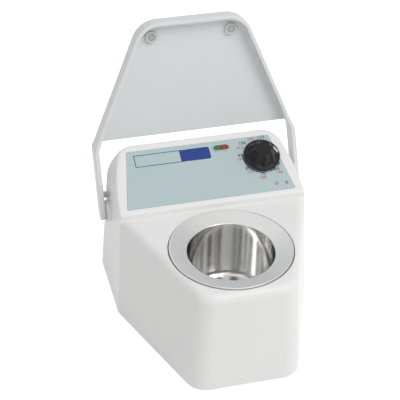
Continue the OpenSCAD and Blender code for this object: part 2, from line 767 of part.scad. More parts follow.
module inlet_nuts() {
  color("silver") on_back(inlet_x, inlet_rise) rotate([-90, 0, 0])
    for (s = [-1, 1]) translate([s*20, 0, -wall - 2.4]) difference() {
      cylinder(r = 3.2, h = 2.4, $fn = 6);
      translate([0, 0, -1]) cylinder(r = m3_r + slack, h = 5, $fn = 32);
    }
}

rocker_h = -1.5;         // height of the rocker's axis over the wall
rocker_r = 8.2;          // sweep of the rocker's ends
rocker_w = 9;

module switch_frame() {
  color("#202022") on_back(switch_x, switch_rise) rotate([-90, 0, 0]) difference() {
    union() {
      linear_extrude(2) polygon(rounded([[-7.5, -10.5], [7.5, -10.5],
        [7.5, 10.5], [-7.5, 10.5]], 1.2));
      translate([0, 0, -16]) linear_extrude(16) square([switch_w, switch_l], center = true);
      for (y = [-5, 5]) translate([0, y, -22]) block(5, 0.8, 6);
    }
    translate([0, 0, -11]) linear_extrude(20)
      square([rocker_w + 0.6, 2*rocker_r + 0.6], center = true);
    translate([0, 0, rocker_h]) across(-rocker_w/2 - 1.4, rocker_w/2 + 1.4, 1 + slack, $fn = 32);
  }
}

// the rocker lies with its lower half pressed in, which is off
module switch_rocker() {
  color("#303034") on_back(switch_x, switch_rise) rotate([-90, 0, 0]) translate([0, 0, rocker_h])
    rotate([-rocker_tilt, 0, 0]) {
      intersection() {
        across(-rocker_w/2, rocker_w/2, rocker_r);
        translate([-rocker_w/2, 0, 0]) rotate([90, 0, 90]) linear_extrude(rocker_w)
          polygon([[-9, 4.6], [0, 3.2], [9, 4.6], [9, -3], [3, -7], [-3, -7], [-9, -3]]);
      }
      across(-rocker_w/2 - 1.2, rocker_w/2 + 1.2, 1, $fn = 32);
    }
}

pole_pitch = 10;
pole_h = 11;
pole_d = 14;
block_x = inlet_x - 2;
block_y = back_y(plate_z) - 45;
earth_x = block_x + 38;
earth_y = block_y;

module terminal_block() {
  color("ivory") translate([block_x, block_y, plate_top]) difference() {
    union() {
      block(3*pole_pitch, pole_d - 2, 4);
      for (i = [-1:1]) translate([i*pole_pitch, 0, 0]) block(pole_pitch - 2.4, pole_d, pole_h);
    }
    for (i = [-1:1]) translate([i*pole_pitch, 0, pole_h - 4]) {
      rotate([90, 0, 0]) cylinder(r = 1.6, h = pole_d + 6, center = true, $fn = 32);
      cylinder(r = 2 + seat, h = 6, $fn = 32);
    }
    for (s = [-1, 1]) translate([s*pole_pitch, 0, -1]) cylinder(r = m3_r + slack, h = 6, $fn = 32);
  }
}

module terminal_screws() {
  color("silver") {
    for (i = [-1:1]) translate([block_x + i*pole_pitch, block_y, plate_top + pole_h - head_t]) screw(1, 1.6);
    for (s = [-1, 1]) translate([block_x + s*pole_pitch, block_y, plate_z]) mirror([0, 0, 1]) screw(m3_r, 6);
  }
}

module earth_stud() {
  color("goldenrod") translate([earth_x, earth_y, 0]) {
    translate([0, 0, plate_z - 0.8]) cylinder(r = 4, h = 0.8);
    translate([0, 0, plate_z - 0.4]) cylinder(r = 2, h = 14, $fn = 32);
    translate([0, 0, plate_top]) difference() {
      cylinder(r = 4, h = 3, $fn = 6);
      translate([0, 0, -1]) cylinder(r = 2 - eps, h = 5, $fn = 32);
    }
  }
}

// a lead from a place in the rear wall's frame down to a point above the base
module lead(x, rise, depth, end, lean) {
  start = [x, back_y(foot_h + rise) - depth*cos(draft), foot_h + rise - depth*sin(draft)];
  rod([start, start - [0, 3, 0], (start + end)/2 + [lean, -4, 2], end + [0, 3, 0], end], wire_r);
}

wire_r = 0.9;
tab_gap = 0.3;           // space between a lead and the tab or pole that it meets

module wiring() {
  pole_z = plate_top + pole_h - 4;
  pole_y = block_y + pole_d/2 + tab_gap;
  tab = 27 + tab_gap;
  color("saddlebrown") {
    // line and neutral from the inlet, and both from the switch
    for (s = [-1, 1]) lead(inlet_x + s*7, inlet_rise - 2, tab, [block_x + s*pole_pitch, pole_y, pole_z], s);
    lead(switch_x, switch_rise + 5, 22 + tab_gap, [block_x + pole_pitch + 1.9, pole_y + 3, pole_z + 5], -4);
    // earth from the inlet to the stud
    lead(inlet_x, inlet_rise + 2, tab, [earth_x - 2 - tab_gap - wire_r, earth_y, plate_top + 7], 5);
  }
}

// ---- lid ----

lid_front_x = front_x(rim_low) + lid_gap + lid_wall;
lid_taper = atan((arm_out - lid_front_x)/(bend - lid_front));

// right half of the lid's outline, d inside its outer faces
function lid_arc(d) =
  let (r = lid_corner_r, c = [lid_front_x - r*(1 - sin(lid_taper))/cos(lid_taper), lid_front + r])
  arc(c, r - d, -90, -lid_taper, arc_steps + 3);

function lid_half(z, d) = lift(concat(lid_arc(d),
  [[arm_out - d, bend + d*tan(lid_taper/2)], [arm_out - d, arm_w], [arm_in, arm_w],
   [arm_in, plate_rear]]), z);

module lid_profile() {
  low = [-sin(arm_slope), -cos(arm_slope)]*arm_r;
  rim = lid_top - lid_rim;
  join = low[0] - (rim - low[1])/tan(arm_slope);
  polygon([[lid_front - 1, rim], [join, rim], low, -low,
    [bend, -low[1] + (-low[0] - bend)*tan(arm_slope)], [bend, lid_top + 1],
    [lid_front - 1, lid_top + 1]]);
  circle(r = arm_r);
}

module lid() {
  color("white") on_lid() difference() {
    union() {
      intersection() {
        loft(concat([both(lid_half(-arm_w, 0)), both(lid_half(lid_top - lid_edge_r, 0))],
          [for (a = [30:30:90]) both(lid_half(lid_top - lid_edge_r*(1 - sin(a)),
            lid_edge_r*(1 - cos(a))))]));
        translate([-body_w, 0, 0]) rotate([90, 0, 90]) linear_extrude(2*body_w) lid_profile();
      }
      both_sides() across(stub_in, arm_in + 1, stub_r);
    }
    translate([0, 0, -2*arm_w]) linear_extrude(plate_in + 2*arm_w) polygon(
      let (side = lid_arc(lid_wall), e = side[len(side) - 1],
           y = e[1] + (arm_in - e[0])/tan(lid_taper))
      [for (p = both(lift(concat(side, [[arm_in, y], [arm_in, plate_rear + 1]]), 0))) [p[0], p[1]]]);
    both_sides() {
      difference() {
        across(boss_in - 0.1 - clip_t - 0.1, boss_in - 0.1, stub_r + 1);
        across(0, body_w, groove_r);
      }
    }
  }
  color("white") on_lid() both_sides() translate([bumper_x, bumper_y, plate_in]) mirror([0, 0, 1])
    pipe(2, 1, 1.5);
}

module lid_bumpers() {
  color("gainsboro") on_lid() both_sides() translate([bumper_x, bumper_y, plate_in - bumper_h])
    pipe(bumper_r, 2 + seat, bumper_h);
}

module bumper_screws() {
  color("dimgray") on_lid() both_sides() translate([bumper_x, bumper_y, plate_in - 1.5])
    mirror([0, 0, 1]) {
      translate([0, 0, -1.4]) cylinder(r = 0.95, h = 1.4, $fn = 32);
      cylinder(r = 1.9, h = 0.6, $fn = 32);
    }
}

module hinge_washers() {
  color("lightgray") translate([0, hinge_y, hinge_h]) both_sides()
    translate([boss_out, 0, 0]) rotate([0, 90, 0]) pipe(boss_r - 0.4, stub_r + seat, 0.5);
}

module hinge_clips() {
  color("gray") on_lid() both_sides() difference() {
    across(boss_in - 0.15 - clip_t, boss_in - 0.15, stub_r + 1.6);
    across(0, body_w, groove_r + slack);
    translate([boss_in - 5, -groove_r, 0]) cube([10, 2*groove_r, 10]);
  }
}

housing();
base_plate();
feet();
base_screws();
control_label();
indicator_bezel();
lens_green();
lens_red();
led_board();
indicator_leds();
board_screws();
thermostat_body();
thermostat_nut();
thermostat_shaft();
sensor_bulb();
capillary_tube();
heating_pot();
pot_gasket();
insulating_washer();
pot_ring_nut();
heater_band();
band_screw();
heater_terminals();
thermal_cutoff();
cutoff_bracket();
cutoff_screws();
power_inlet();
inlet_pins();
inlet_screws();
inlet_nuts();
switch_frame();
switch_rocker();
terminal_block();
terminal_screws();
earth_stud();
wiring();
knob();
knob_pointer();
knob_insert();
lid();
lid_bumpers();
bumper_screws();
hinge_washers();
hinge_clips();
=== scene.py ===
import bpy
import bmesh
import json
from math import sin, cos, tan, asin, atan2, sqrt, pi, radians, degrees
from mathutils import Matrix, Vector


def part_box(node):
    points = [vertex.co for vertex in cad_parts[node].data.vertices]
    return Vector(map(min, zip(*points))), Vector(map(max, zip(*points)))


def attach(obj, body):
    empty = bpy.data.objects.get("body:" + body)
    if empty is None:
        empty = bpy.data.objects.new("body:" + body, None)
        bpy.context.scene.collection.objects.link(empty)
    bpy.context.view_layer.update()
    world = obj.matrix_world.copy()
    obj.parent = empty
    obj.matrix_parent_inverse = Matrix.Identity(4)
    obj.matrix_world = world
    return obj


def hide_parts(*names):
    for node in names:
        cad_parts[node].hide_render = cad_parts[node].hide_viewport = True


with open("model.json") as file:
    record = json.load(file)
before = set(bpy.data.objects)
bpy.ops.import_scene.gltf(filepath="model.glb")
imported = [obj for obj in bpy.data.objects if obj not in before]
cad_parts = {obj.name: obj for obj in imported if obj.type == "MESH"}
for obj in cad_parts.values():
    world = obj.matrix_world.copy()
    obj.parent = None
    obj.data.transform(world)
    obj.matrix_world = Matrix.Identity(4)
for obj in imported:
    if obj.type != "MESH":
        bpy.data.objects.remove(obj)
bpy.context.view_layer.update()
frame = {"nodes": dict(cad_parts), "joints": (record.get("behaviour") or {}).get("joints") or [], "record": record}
record = frame["record"]
mm = 0.001
scene = bpy.context.scene
scene.view_settings.view_transform = "Standard"
print("frame loaded:", len(frame["nodes"]), "nodes")


def newObject(name, data):
    obj = bpy.data.objects.new(name, data)
    scene.collection.objects.link(obj)
    return obj


# place in mm, angles in degrees, focal length and middle in pixels of a square picture
camera = {"place": (-179.88, -603.05, 555.86), "yaw": -15.58, "pitch": -37.14, "roll": 1.82,
          "focalPixels": 1347.65, "middle": (198.64, 199.94), "picture": 400, "sensor": 36.0}


def placeCamera(c):
    yaw, pitch, roll = radians(c["yaw"]), radians(c["pitch"]), radians(c["roll"])
    ahead = Vector((sin(-yaw)*cos(pitch), cos(yaw)*cos(pitch), sin(pitch)))
    side = ahead.cross(Vector((0, 0, 1))).normalized()
    top = side.cross(ahead)
    right = side*cos(roll) + top*sin(roll)
    up = -side*sin(roll) + top*cos(roll)
    data = bpy.data.cameras.new("view")
    data.sensor_width = c["sensor"]
    data.lens = c["focalPixels"]*c["sensor"]/c["picture"]
    half = c["picture"]/2
    data.shift_x = (half - c["middle"][0])/c["picture"]
    data.shift_y = (c["middle"][1] - half)/c["picture"]
    data.clip_start = 0.01
    obj = newObject("view", data)
    turn = Matrix((right, up, -ahead)).transposed().to_4x4()
    obj.matrix_world = Matrix.Translation(Vector(c["place"])*mm) @ turn
    scene.camera = obj


placeCamera(camera)

light = {"sky": 0.72, "key": 8.5, "keySize": 0.9, "keyPlace": (0.5, -0.8, 1.3),
         "fill": 0.9, "fillSize": 1.2, "fillPlace": (1.0, -0.2, 0.7), "aim": (0, 0, 0.06)}


# puts constants and links on the inputs of a node
def fill(tree, node, inputs):
    for key, value in inputs.items():
        if isinstance(value, bpy.types.NodeSocket):
            tree.links.new(value, node.inputs[key])
        else:
            node.inputs[key].default_value = value
    return node


def addNode(tree, kind, inputs, **settings):
    node = tree.nodes.new(kind)
    for key, value in settings.items():
        setattr(node, key, value)
    return fill(tree, node, inputs)


def newMaterial(name):
    mat = bpy.data.materials.new(name)
    mat.use_nodes = True
    return mat, mat.node_tree


# two values or sockets put through one step of arithmetic
def combined(tree, operation, first, second):
    return addNode(tree, "ShaderNodeMath", {0: first, 1: second}, operation=operation).outputs[0]


def noise(tree, place, scale, detail):
    inputs = {"Vector": place, "Scale": scale, "Detail": detail}
    return addNode(tree, "ShaderNodeTexNoise", inputs).outputs["Fac"]


def mixed(tree, share, first, second):
    inputs = {0: share, 6: (*first, 1), 7: (*second, 1)}
    return addNode(tree, "ShaderNodeMix", inputs, data_type="RGBA").outputs[2]


def mapped(tree, value, low, high, start=0, end=1):
    inputs = {"Value": value, "From Min": start, "From Max": end, "To Min": low, "To Max": high}
    return addNode(tree, "ShaderNodeMapRange", inputs).outputs["Result"]


def bumped(tree, height, strength, distance):
    inputs = {"Height": height, "Strength": strength, "Distance": distance*mm}
    return addNode(tree, "ShaderNodeBump", inputs).outputs["Normal"]


# 1 for any of the named kinds of ray
def seenBy(tree, *kinds):
    rays = tree.nodes.new("ShaderNodeLightPath")
    result = rays.outputs[kinds[0]]
    for kind in kinds[1:]:
        result = combined(tree, "MAXIMUM", result, rays.outputs[kind])
    return result


def addWorld(strength):
    world = bpy.data.worlds.new("studio")
    scene.world = world
    world.use_nodes = True
    tree = world.node_tree
    tree.nodes.clear()
    white = tree.nodes.new("ShaderNodeBackground")
    soft = addNode(tree, "ShaderNodeBackground", {"Strength": strength})
    seen = seenBy(tree, "Is Camera Ray", "Is Glossy Ray", "Is Transmission Ray")
    both = addNode(tree, "ShaderNodeMixShader", {0: seen, 1: soft.outputs[0], 2: white.outputs[0]})
    addNode(tree, "ShaderNodeOutputWorld", {0: both.outputs[0]})


def addLamp(name, place, aim, size, watts):
    data = bpy.data.lights.new(name, "AREA")
    data.shape = "DISK"
    data.size = size
    data.energy = watts
    obj = newObject(name, data)
    way = Vector(place) - Vector(aim)
    obj.rotation_euler = way.to_track_quat("Z", "Y").to_euler()
    obj.location = place


addWorld(light["sky"])
for name in ("key", "fill"):
    addLamp(name, light[name + "Place"], light["aim"], light[name + "Size"], light[name])

# white table: half its width in metres, grey under the lamps, glow of its own to camera and mirrors
ground = {"reach": 3.0, "grey": 0.8, "glow": 0.75}


def whiteFloor():
    mat, tree = newMaterial("floorWhite")
    tree.nodes.clear()
    matte = addNode(tree, "ShaderNodeBsdfDiffuse", {"Color": (*[ground["grey"]]*3, 1)})
    seen = seenBy(tree, "Is Camera Ray", "Is Glossy Ray")
    glow = addNode(tree, "ShaderNodeEmission",
                   {"Strength": combined(tree, "MULTIPLY", seen, ground["glow"])})
    total = addNode(tree, "ShaderNodeAddShader", {0: matte.outputs[0], 1: glow.outputs[0]})
    addNode(tree, "ShaderNodeOutputMaterial", {0: total.outputs[0]})
    return mat


def addFloor(size):
    data = bpy.data.meshes.new("floor")
    data.from_pydata([(-size, -size, 0), (size, -size, 0), (size, size, 0), (-size, size, 0)],
                     [], [(0, 1, 2, 3)])
    floor = newObject("floor", data)
    data.materials.append(whiteFloor())


addFloor(ground["reach"])

# cards that show only as reflections: bearing, width in metres, colour
cards = ((-165, 0.42, (0.07, 0.06, 0.05)), (-118, 0.34, (0.26, 0.21, 0.15)), (-75, 0.3, (0.13, 0.12, 0.1)),
         (-38, 0.36, (0.1, 0.11, 0.13)), (-5, 0.22, (0.26, 0.2, 0.15)), (25, 0.3, (0.11, 0.09, 0.075)),
         (55, 0.36, (0.33, 0.34, 0.35)), (138, 0.3, (0.1, 0.09, 0.08)), (160, 0.2, (0.2, 0.21, 0.24)))
cardReach, cardLow, cardHigh = 0.9, 0.2, 1.35


def addCard(bearing, width, colour):
    a = radians(bearing)
    middle = Vector((cos(a), sin(a), 0))*cardReach
    along = Vector((-sin(a), cos(a), 0))*width/2
    low, high = Vector((0, 0, cardLow)), Vector((0, 0, cardHigh))
    data = bpy.data.meshes.new("card")
    corners = [middle - along + low, middle + along + low, middle + along + high, middle - along + high]
    data.from_pydata(corners, [], [(0, 1, 2, 3)])
    card = newObject("card", data)
    mat, tree = newMaterial("card")
    fill(tree, tree.nodes["Principled BSDF"], {"Base Color": (*colour, 1), "Specular IOR Level": 0})
    data.materials.append(mat)
    card.visible_camera = card.visible_diffuse = card.visible_shadow = card.visible_transmission = False


for card in cards:
    addCard(*card)
print("stage ready")

# what a finish has unless it says otherwise, and what all share; grain size and bump in mm
usual = {"metal": 0, "through": 0, "shine": 0.5, "spread": 0.05, "grain": 0.3, "depth": 0.05,
         "mottleScale": 60, "mottleDetail": 4, "grainDetail": 2, "bump": 0.1}


# colour, second colour of the mottling, roughness, and what is not as usual
def finish(color, tint, rough, **other):
    return {**usual, "color": color, "tint": tint, "rough": rough, **other}


finishes = {
    "housingPlastic": finish((0.88, 0.88, 0.875), (0.87, 0.87, 0.865), 0.42, grain=0.35),
    "lidPlastic": finish((0.77, 0.795, 0.8), (0.76, 0.785, 0.79), 0.45, grain=0.35),
    "sheetSteel": finish((0.55, 0.56, 0.57), (0.47, 0.48, 0.5), 0.38, spread=0.1, grain=3.0, depth=0.08,
        metal=1),
    "bandSteel": finish((0.42, 0.41, 0.38), (0.33, 0.31, 0.28), 0.42, spread=0.12, grain=4.0, depth=0.1,
        metal=1),
    "rubber": finish((0.035, 0.035, 0.036), (0.05, 0.05, 0.05), 0.72, spread=0.08, grain=0.6, depth=0.15),
    "bumperRubber": finish((0.66, 0.67, 0.66), (0.6, 0.61, 0.6), 0.6, spread=0.06, grain=0.5, depth=0.1),
    "screwSteel": finish((0.36, 0.36, 0.36), (0.28, 0.28, 0.28), 0.34, spread=0.1, grain=0.8, depth=0.1,
        metal=1),
    "labelFilm": finish((0.5, 0.61, 0.62), (0.49, 0.6, 0.615), 0.3, spread=0.04, grain=0.25, depth=0.02),
    "lightPlastic": finish((0.66, 0.69, 0.69), (0.62, 0.65, 0.65), 0.35, grain=0.4, depth=0.04),
    "greenLens": finish((0.03, 0.22, 0.05), (0.05, 0.3, 0.07), 0.14, spread=0.03, grain=0.8, through=0.25),
    "redLens": finish((0.5, 0.045, 0.055), (0.42, 0.03, 0.04), 0.14, spread=0.03, grain=0.8, through=0.25),
    "ledEpoxy": finish((0.8, 0.8, 0.8), (0.75, 0.75, 0.75), 0.1, spread=0.02, grain=1.0, depth=0.02,
        through=0.6),
    "circuitBoard": finish((0.02, 0.14, 0.05), (0.03, 0.2, 0.07), 0.35, spread=0.06, grain=1.5, depth=0.06),
    "thermostatPlastic": finish((0.5, 0.44, 0.32), (0.42, 0.36, 0.26), 0.5, spread=0.08, grain=1.0,
        depth=0.08),
    "shaftSteel": finish((0.58, 0.58, 0.58), (0.5, 0.5, 0.5), 0.22, spread=0.06, grain=1.0, depth=0.04,
        metal=1),
    "copper": finish((0.62, 0.3, 0.18), (0.5, 0.24, 0.15), 0.3, spread=0.1, grain=2.0, metal=1),
    "fibre": finish((0.4, 0.31, 0.2), (0.32, 0.25, 0.16), 0.8, spread=0.08, grain=0.8, depth=0.25),
    "ceramic": finish((0.74, 0.71, 0.62), (0.68, 0.65, 0.56), 0.28, spread=0.06, grain=2.0),
    "blackPlastic": finish((0.016, 0.016, 0.017), (0.022, 0.022, 0.023), 0.42, spread=0.08, depth=0.12),
    "rockerPlastic": finish((0.02, 0.02, 0.022), (0.026, 0.026, 0.028), 0.3, spread=0.06, grain=0.4,
        depth=0.06),
    "pinNickel": finish((0.68, 0.66, 0.6), (0.6, 0.58, 0.52), 0.2, spread=0.06, grain=1.0, depth=0.04,
        metal=1),
    "brass": finish((0.62, 0.44, 0.18), (0.5, 0.35, 0.14), 0.26, spread=0.08, grain=1.0, metal=1),
    "wireSleeve": finish((0.2, 0.08, 0.04), (0.26, 0.11, 0.06), 0.6, spread=0.08, grain=0.4, depth=0.2),
    "knobPlastic": finish((0.013, 0.012, 0.013), (0.018, 0.017, 0.018), 0.4, shine=0.3, spread=0.07,
        depth=0.1),
    "pointerWhite": finish((0.86, 0.86, 0.86), (0.8, 0.8, 0.8), 0.4, grain=0.4),
    "inkBlue": finish((0.012, 0.045, 0.26), (0.014, 0.05, 0.28), 0.34, depth=0.03),
    "inkNavy": finish((0.015, 0.035, 0.13), (0.018, 0.04, 0.15), 0.34, depth=0.03),
    "inkRed": finish((0.5, 0.1, 0.1), (0.46, 0.09, 0.09), 0.34, depth=0.03),
}


def makeFinish(name):
    f = finishes[name]
    mat, tree = newMaterial(name)
    place = tree.nodes.new("ShaderNodeTexCoord").outputs["Object"]
    mottle = noise(tree, place, f["mottleScale"], f["mottleDetail"])
    grain = noise(tree, place, 1/(f["grain"]*mm), f["grainDetail"])
    fill(tree, tree.nodes["Principled BSDF"], {
        "Base Color": mixed(tree, mottle, f["color"], f["tint"]), "Metallic": f["metal"],
        "Roughness": mapped(tree, grain, f["rough"] - f["spread"], f["rough"] + f["spread"]),
        "Specular IOR Level": f["shine"], "Transmission Weight": f["through"],
        "Normal": bumped(tree, grain, f["depth"], f["bump"])})
    return mat


skins = {name: makeFinish(name) for name in finishes}


# slot names of the record are the finish names with underscores
def finishOf(slotName):
    words = slotName.split("_")
    return words[0] + "".join(w.capitalize() for w in words[1:])


# metal turned on a lathe: fine rings round the axis, bright along them; lengths in mm; inside the well the colour
# is darkened as painted shade
turned = {"color": (0.93, 0.93, 0.92), "tint": (0.87, 0.865, 0.855), "ringPitch": 0.5, "rough": 0.3,
          "polished": 0.13, "polishedBelow": 65.3, "fade": 0.6, "spread": 0.05, "depth": 0.12,
          "bump": 0.05, "ringDetail": 3, "wellShade": 0.9, "ringMetal": 0.85, "along": 0.65}


def turnedMetal(name, middle):
    t = turned
    mat, tree = newMaterial(name)
    place = tree.nodes.new("ShaderNodeTexCoord").outputs["Object"]
    centre = addNode(tree, "ShaderNodeMapping", {"Vector": place, "Location": [-v for v in middle]})
    split = addNode(tree, "ShaderNodeSeparateXYZ", {"Vector": centre.outputs["Vector"]}).outputs
    flat = addNode(tree, "ShaderNodeCombineXYZ", {"X": split["X"], "Y": split["Y"]})
    radius = addNode(tree, "ShaderNodeVectorMath", {0: flat.outputs["Vector"]}, operation="LENGTH")
    ringPlace = addNode(tree, "ShaderNodeCombineXYZ", {"X": radius.outputs["Value"], "Y": split["Z"]})
    rings = noise(tree, ringPlace.outputs["Vector"], 1/(t["ringPitch"]*mm), t["ringDetail"])

    # from one value in the well to another on the ring above it
    def upTo(low, high):
        return mapped(tree, split["Z"], low, high, t["polishedBelow"]*mm, (t["polishedBelow"] + t["fade"])*mm)

    # painted shade: the colour is scaled down inside the well and rises to full on the ring above it
    wellPaintedShadeColour = addNode(tree, "ShaderNodeVectorMath",
                     {0: mixed(tree, rings, t["tint"], t["color"]), "Scale": upTo(t["wellShade"], 1)},
                     operation="SCALE")
    spread = mapped(tree, rings, -t["spread"], t["spread"])
    turnWay = addNode(tree, "ShaderNodeTangent", {}, direction_type="UV_MAP", uv_map="around")
    fill(tree, tree.nodes["Principled BSDF"], {
        "Base Color": wellPaintedShadeColour.outputs["Vector"], "Metallic": upTo(1, t["ringMetal"]),
        "Roughness": combined(tree, "ADD", upTo(t["polished"], t["rough"]), spread),
        "Anisotropic": t["along"], "Tangent": turnWay.outputs["Tangent"],
        "Normal": bumped(tree, rings, t["depth"], t["bump"])})
    return mat


print("finishes ready:", len(skins))


# the slot says which finish the piece has, unless another skin is given
def addObject(name, data, body, slotName, *replaced, skin=None, sharp=None):
    if sharp:
        data = steadyShade(data, sharp)
    obj = newObject(name, data)
    data.materials.clear()
    data.materials.append(skin or skins[finishOf(slotName)])
    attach(obj, body)
    if replaced:
        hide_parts(*replaced)


def meshFrom(name, points, faces):
    data = bpy.data.meshes.new(name)
    data.from_pydata([Vector(p)*mm for p in points], [], faces)
    data.update()
    return data


def loftMesh(name, rings, closed=False):
    n = len(rings[0])
    points = [p for ring in rings for p in ring]
    last = len(rings) if closed else len(rings) - 1
    faces = []
    for j in range(last):
        a, b = j*n, (j + 1) % len(rings)*n
        faces += [(a + i, a + (i + 1) % n, b + (i + 1) % n, b + i) for i in range(n)]
    if not closed:
        faces += [tuple(reversed(range(n))), tuple(range(len(points) - n, len(points)))]
    return outwards(meshFrom(name, points, faces))


# runs one change on the points, edges and faces of a mesh
def edited(data, change):
    bm = bmesh.new()
    bm.from_mesh(data)
    change(bm)
    bm.to_mesh(data)
    bm.free()
    return data


# points closer than this, in metres, become one: in a new mesh and after cuts
meshReach, cutReach = 1e-7, 1e-6


def weld(bm, reach):
    bmesh.ops.remove_doubles(bm, verts=bm.verts, dist=reach)
    bmesh.ops.dissolve_degenerate(bm, edges=bm.edges, dist=reach)


# a clean closed solid whose faces all point out
def outwards(data):
    def change(bm):
        weld(bm, meshReach)
        loose = [edge for edge in bm.edges if not edge.link_faces]
        bmesh.ops.delete(bm, geom=loose, context="EDGES")
        bmesh.ops.recalc_face_normals(bm, faces=bm.faces)
        if bm.calc_volume(signed=True) < 0:
            bmesh.ops.reverse_faces(bm, faces=bm.faces)
    return edited(data, change)


def spun(name, profile, turns, middle=(0, 0)):
    n = len(profile)
    points, faces = [], []
    for j in range(turns):
        a = 2*pi*j/turns
        points += [(middle[0] + r*cos(a), middle[1] + r*sin(a), z) for r, z in profile]
    for j in range(turns):
        a, b = j*n, (j + 1) % turns*n
        faces += [(a + i, b + i, b + (i + 1) % n, a + (i + 1) % n) for i in range(n)]
    return outwards(meshFrom(name, points, faces))


# edges sharper than the angle, which each piece calls sharp, stay so and the rest shade smoothly
def shade(data, angle):
    def change(bm):
        for face in bm.faces:
            face.smooth = True
        for edge in bm.edges:
            edge.smooth = len(edge.link_faces) == 2 and edge.calc_face_angle(0) < radians(angle)
    return edited(data, change)


# the mesh that the object's modifiers or letters make; the objects it came from are removed
def settle(obj, *others):
    obj.update_tag()
    bpy.context.view_layer.update()
    graph = bpy.context.evaluated_depsgraph_get()
    data = bpy.data.meshes.new_from_object(obj.evaluated_get(graph), depsgraph=graph)
    for thing in (obj, *others):
        bpy.data.objects.remove(thing)
    return data


# joins and cuts closed meshes one after another
def carve(name, base, steps):
    obj = newObject(name, base)
    tools = []
    for operation, data in steps:
        tool = newObject(name + "Tool", data)
        tools.append(tool)
        mod = obj.modifiers.new("cut", "BOOLEAN")
        mod.operation = operation
        mod.solver = "EXACT"
        mod.object = tool
    return edited(settle(obj, *tools), lambda bm: weld(bm, cutReach))


# shading that lets broad flat faces stay flat beside their rounded edges
def steadyShade(data, angle):
    obj = newObject("steady", shade(data, angle))
    mod = obj.modifiers.new("steady", "WEIGHTED_NORMAL")
    mod.keep_sharp = True
    mod.weight = 60
    return settle(obj)


def cylinderMesh(radius, low, high, turns, middle=(0, 0)):
    return spun("cylinder", [(0, low), (radius, low), (radius, high), (0, high)], turns, middle)


def shift(x, y, z):
    return Matrix.Translation(Vector((x, y, z))*mm)


def moved(data, matrix):
    data.transform(matrix)
    return data


# faces of a solid between two outlines of n points
def stripFaces(n):
    faces = [tuple(range(n)), tuple(range(n, 2*n))]
    return faces + [(i, (i + 1) % n, n + (i + 1) % n, n + i) for i in range(n)]


def prism(outline, low, high):
    points = [(x, y, low) for x, y in outline] + [(x, y, high) for x, y in outline]
    return outwards(meshFrom("prism", points, stripFaces(len(outline))))


def arcPoints(cx, cy, r, start, end, n):
    return [(cx + r*cos(radians(start + (end - start)*i/n)),
             cy + r*sin(radians(start + (end - start)*i/n))) for i in range(n + 1)]


def slotOutline(length, width):
    reach = (length - width)/2
    return arcPoints(reach, 0, width/2, -90, 90, 12) + arcPoints(-reach, 0, width/2, 90, 270, 12)


# corners of a convex outline, anticlockwise, each rounded with one radius
def roundedOutline(corners, radius):
    out, n = [], 6
    for i, corner in enumerate(corners):
        b = Vector(corner)
        u = (Vector(corners[i - 1]) - b).normalized()
        v = (Vector(corners[(i + 1) % len(corners)]) - b).normalized()
        half = u.angle(v)/2
        toward = (u + v).normalized()
        c = b + toward*radius/sin(half)
        facing = atan2(-toward.y, -toward.x)
        sweep = pi/2 - half
        out += [tuple(c + radius*Vector((cos(facing + sweep*t), sin(facing + sweep*t))))
                for t in [2*k/n - 1 for k in range(n + 1)]]
    return out


# plastic case, in mm and degrees as everywhere below; x and y of the frame, z up from the table
housing = {"width": 120, "frontWidth": 61.4, "length": 133, "taper": 77, "wall": 2.5, "draft": 2.8, "lean": 5,
           "foot": 2, "deck": 68, "top": 89, "frontCorner": 13, "rearCorner": 7, "deckEdge": 5,
           "kinkRound": 3.5, "step": 3, "stepRound": 1.8, "slope": 22.2, "shoulder": 23, "shoulderRise": 2,
           "panelEdge": 1.6, "rearEdge": 2.0, "stepGap": 0.15, "stepRise": 0.8, "stepEdge": 0.9,
           "riseEdge": 0.8, "kinkNear": 0.5, "arcSteps": 16, "edgeSteps": 10, "slopeSteps": 14,
           "rearSteps": 8, "sharp": 34}
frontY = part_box("housing")[0].y/mm
slope = radians(housing["slope"])
draftRun = tan(radians(housing["draft"]))
stepY = frontY + housing["taper"] + (housing["deck"] - housing["foot"])*tan(radians(housing["lean"]))
panelZ = housing["deck"] + housing["step"]
rearY = frontY + housing["length"]


def sideX(z):
    return housing["width"]/2 - (z - housing["foot"])*draftRun


def frontX(z):
    return housing["frontWidth"]/2 - (z - housing["foot"])*draftRun


def faceY(z):
    return frontY + (z - housing["foot"])*draftRun


def backY(z):
    return rearY - (z - housing["foot"])*draftRun


def kinkY(z):
    return frontY + housing["taper"] + (z - housing["foot"])*tan(radians(housing["lean"]))


def shoulderX(z, inset):
    start = housing["deck"] + housing["shoulderRise"]
    if z <= start:
        return sideX(z) - inset
    r = housing["shoulder"]
    return sideX(start) - r + sqrt((r - inset)**2 - (z - start)**2)


def panelAt(y, inset):
    return panelZ + (y - stepY)*tan(slope) - inset/cos(slope)


# a corner between two directions rounded into n + 1 points
def softCorner(before, corner, after, radius, n):
    b = Vector(corner)
    u, v = (Vector(before) - b).normalized(), (Vector(after) - b).normalized()
    half = u.angle(v)/2
    reach = radius/tan(half)
    c = b + (u + v).normalized()*radius/sin(half)
    start, end = b + u*reach - c, b + v*reach - c
    turn = start.angle(end)
    points = []
    for k in range(n + 1):
        a, w = sin((1 - k/n)*turn)/sin(turn), sin(k/n*turn)/sin(turn)
        points.append(tuple(c + start*a + end*w))
    return points


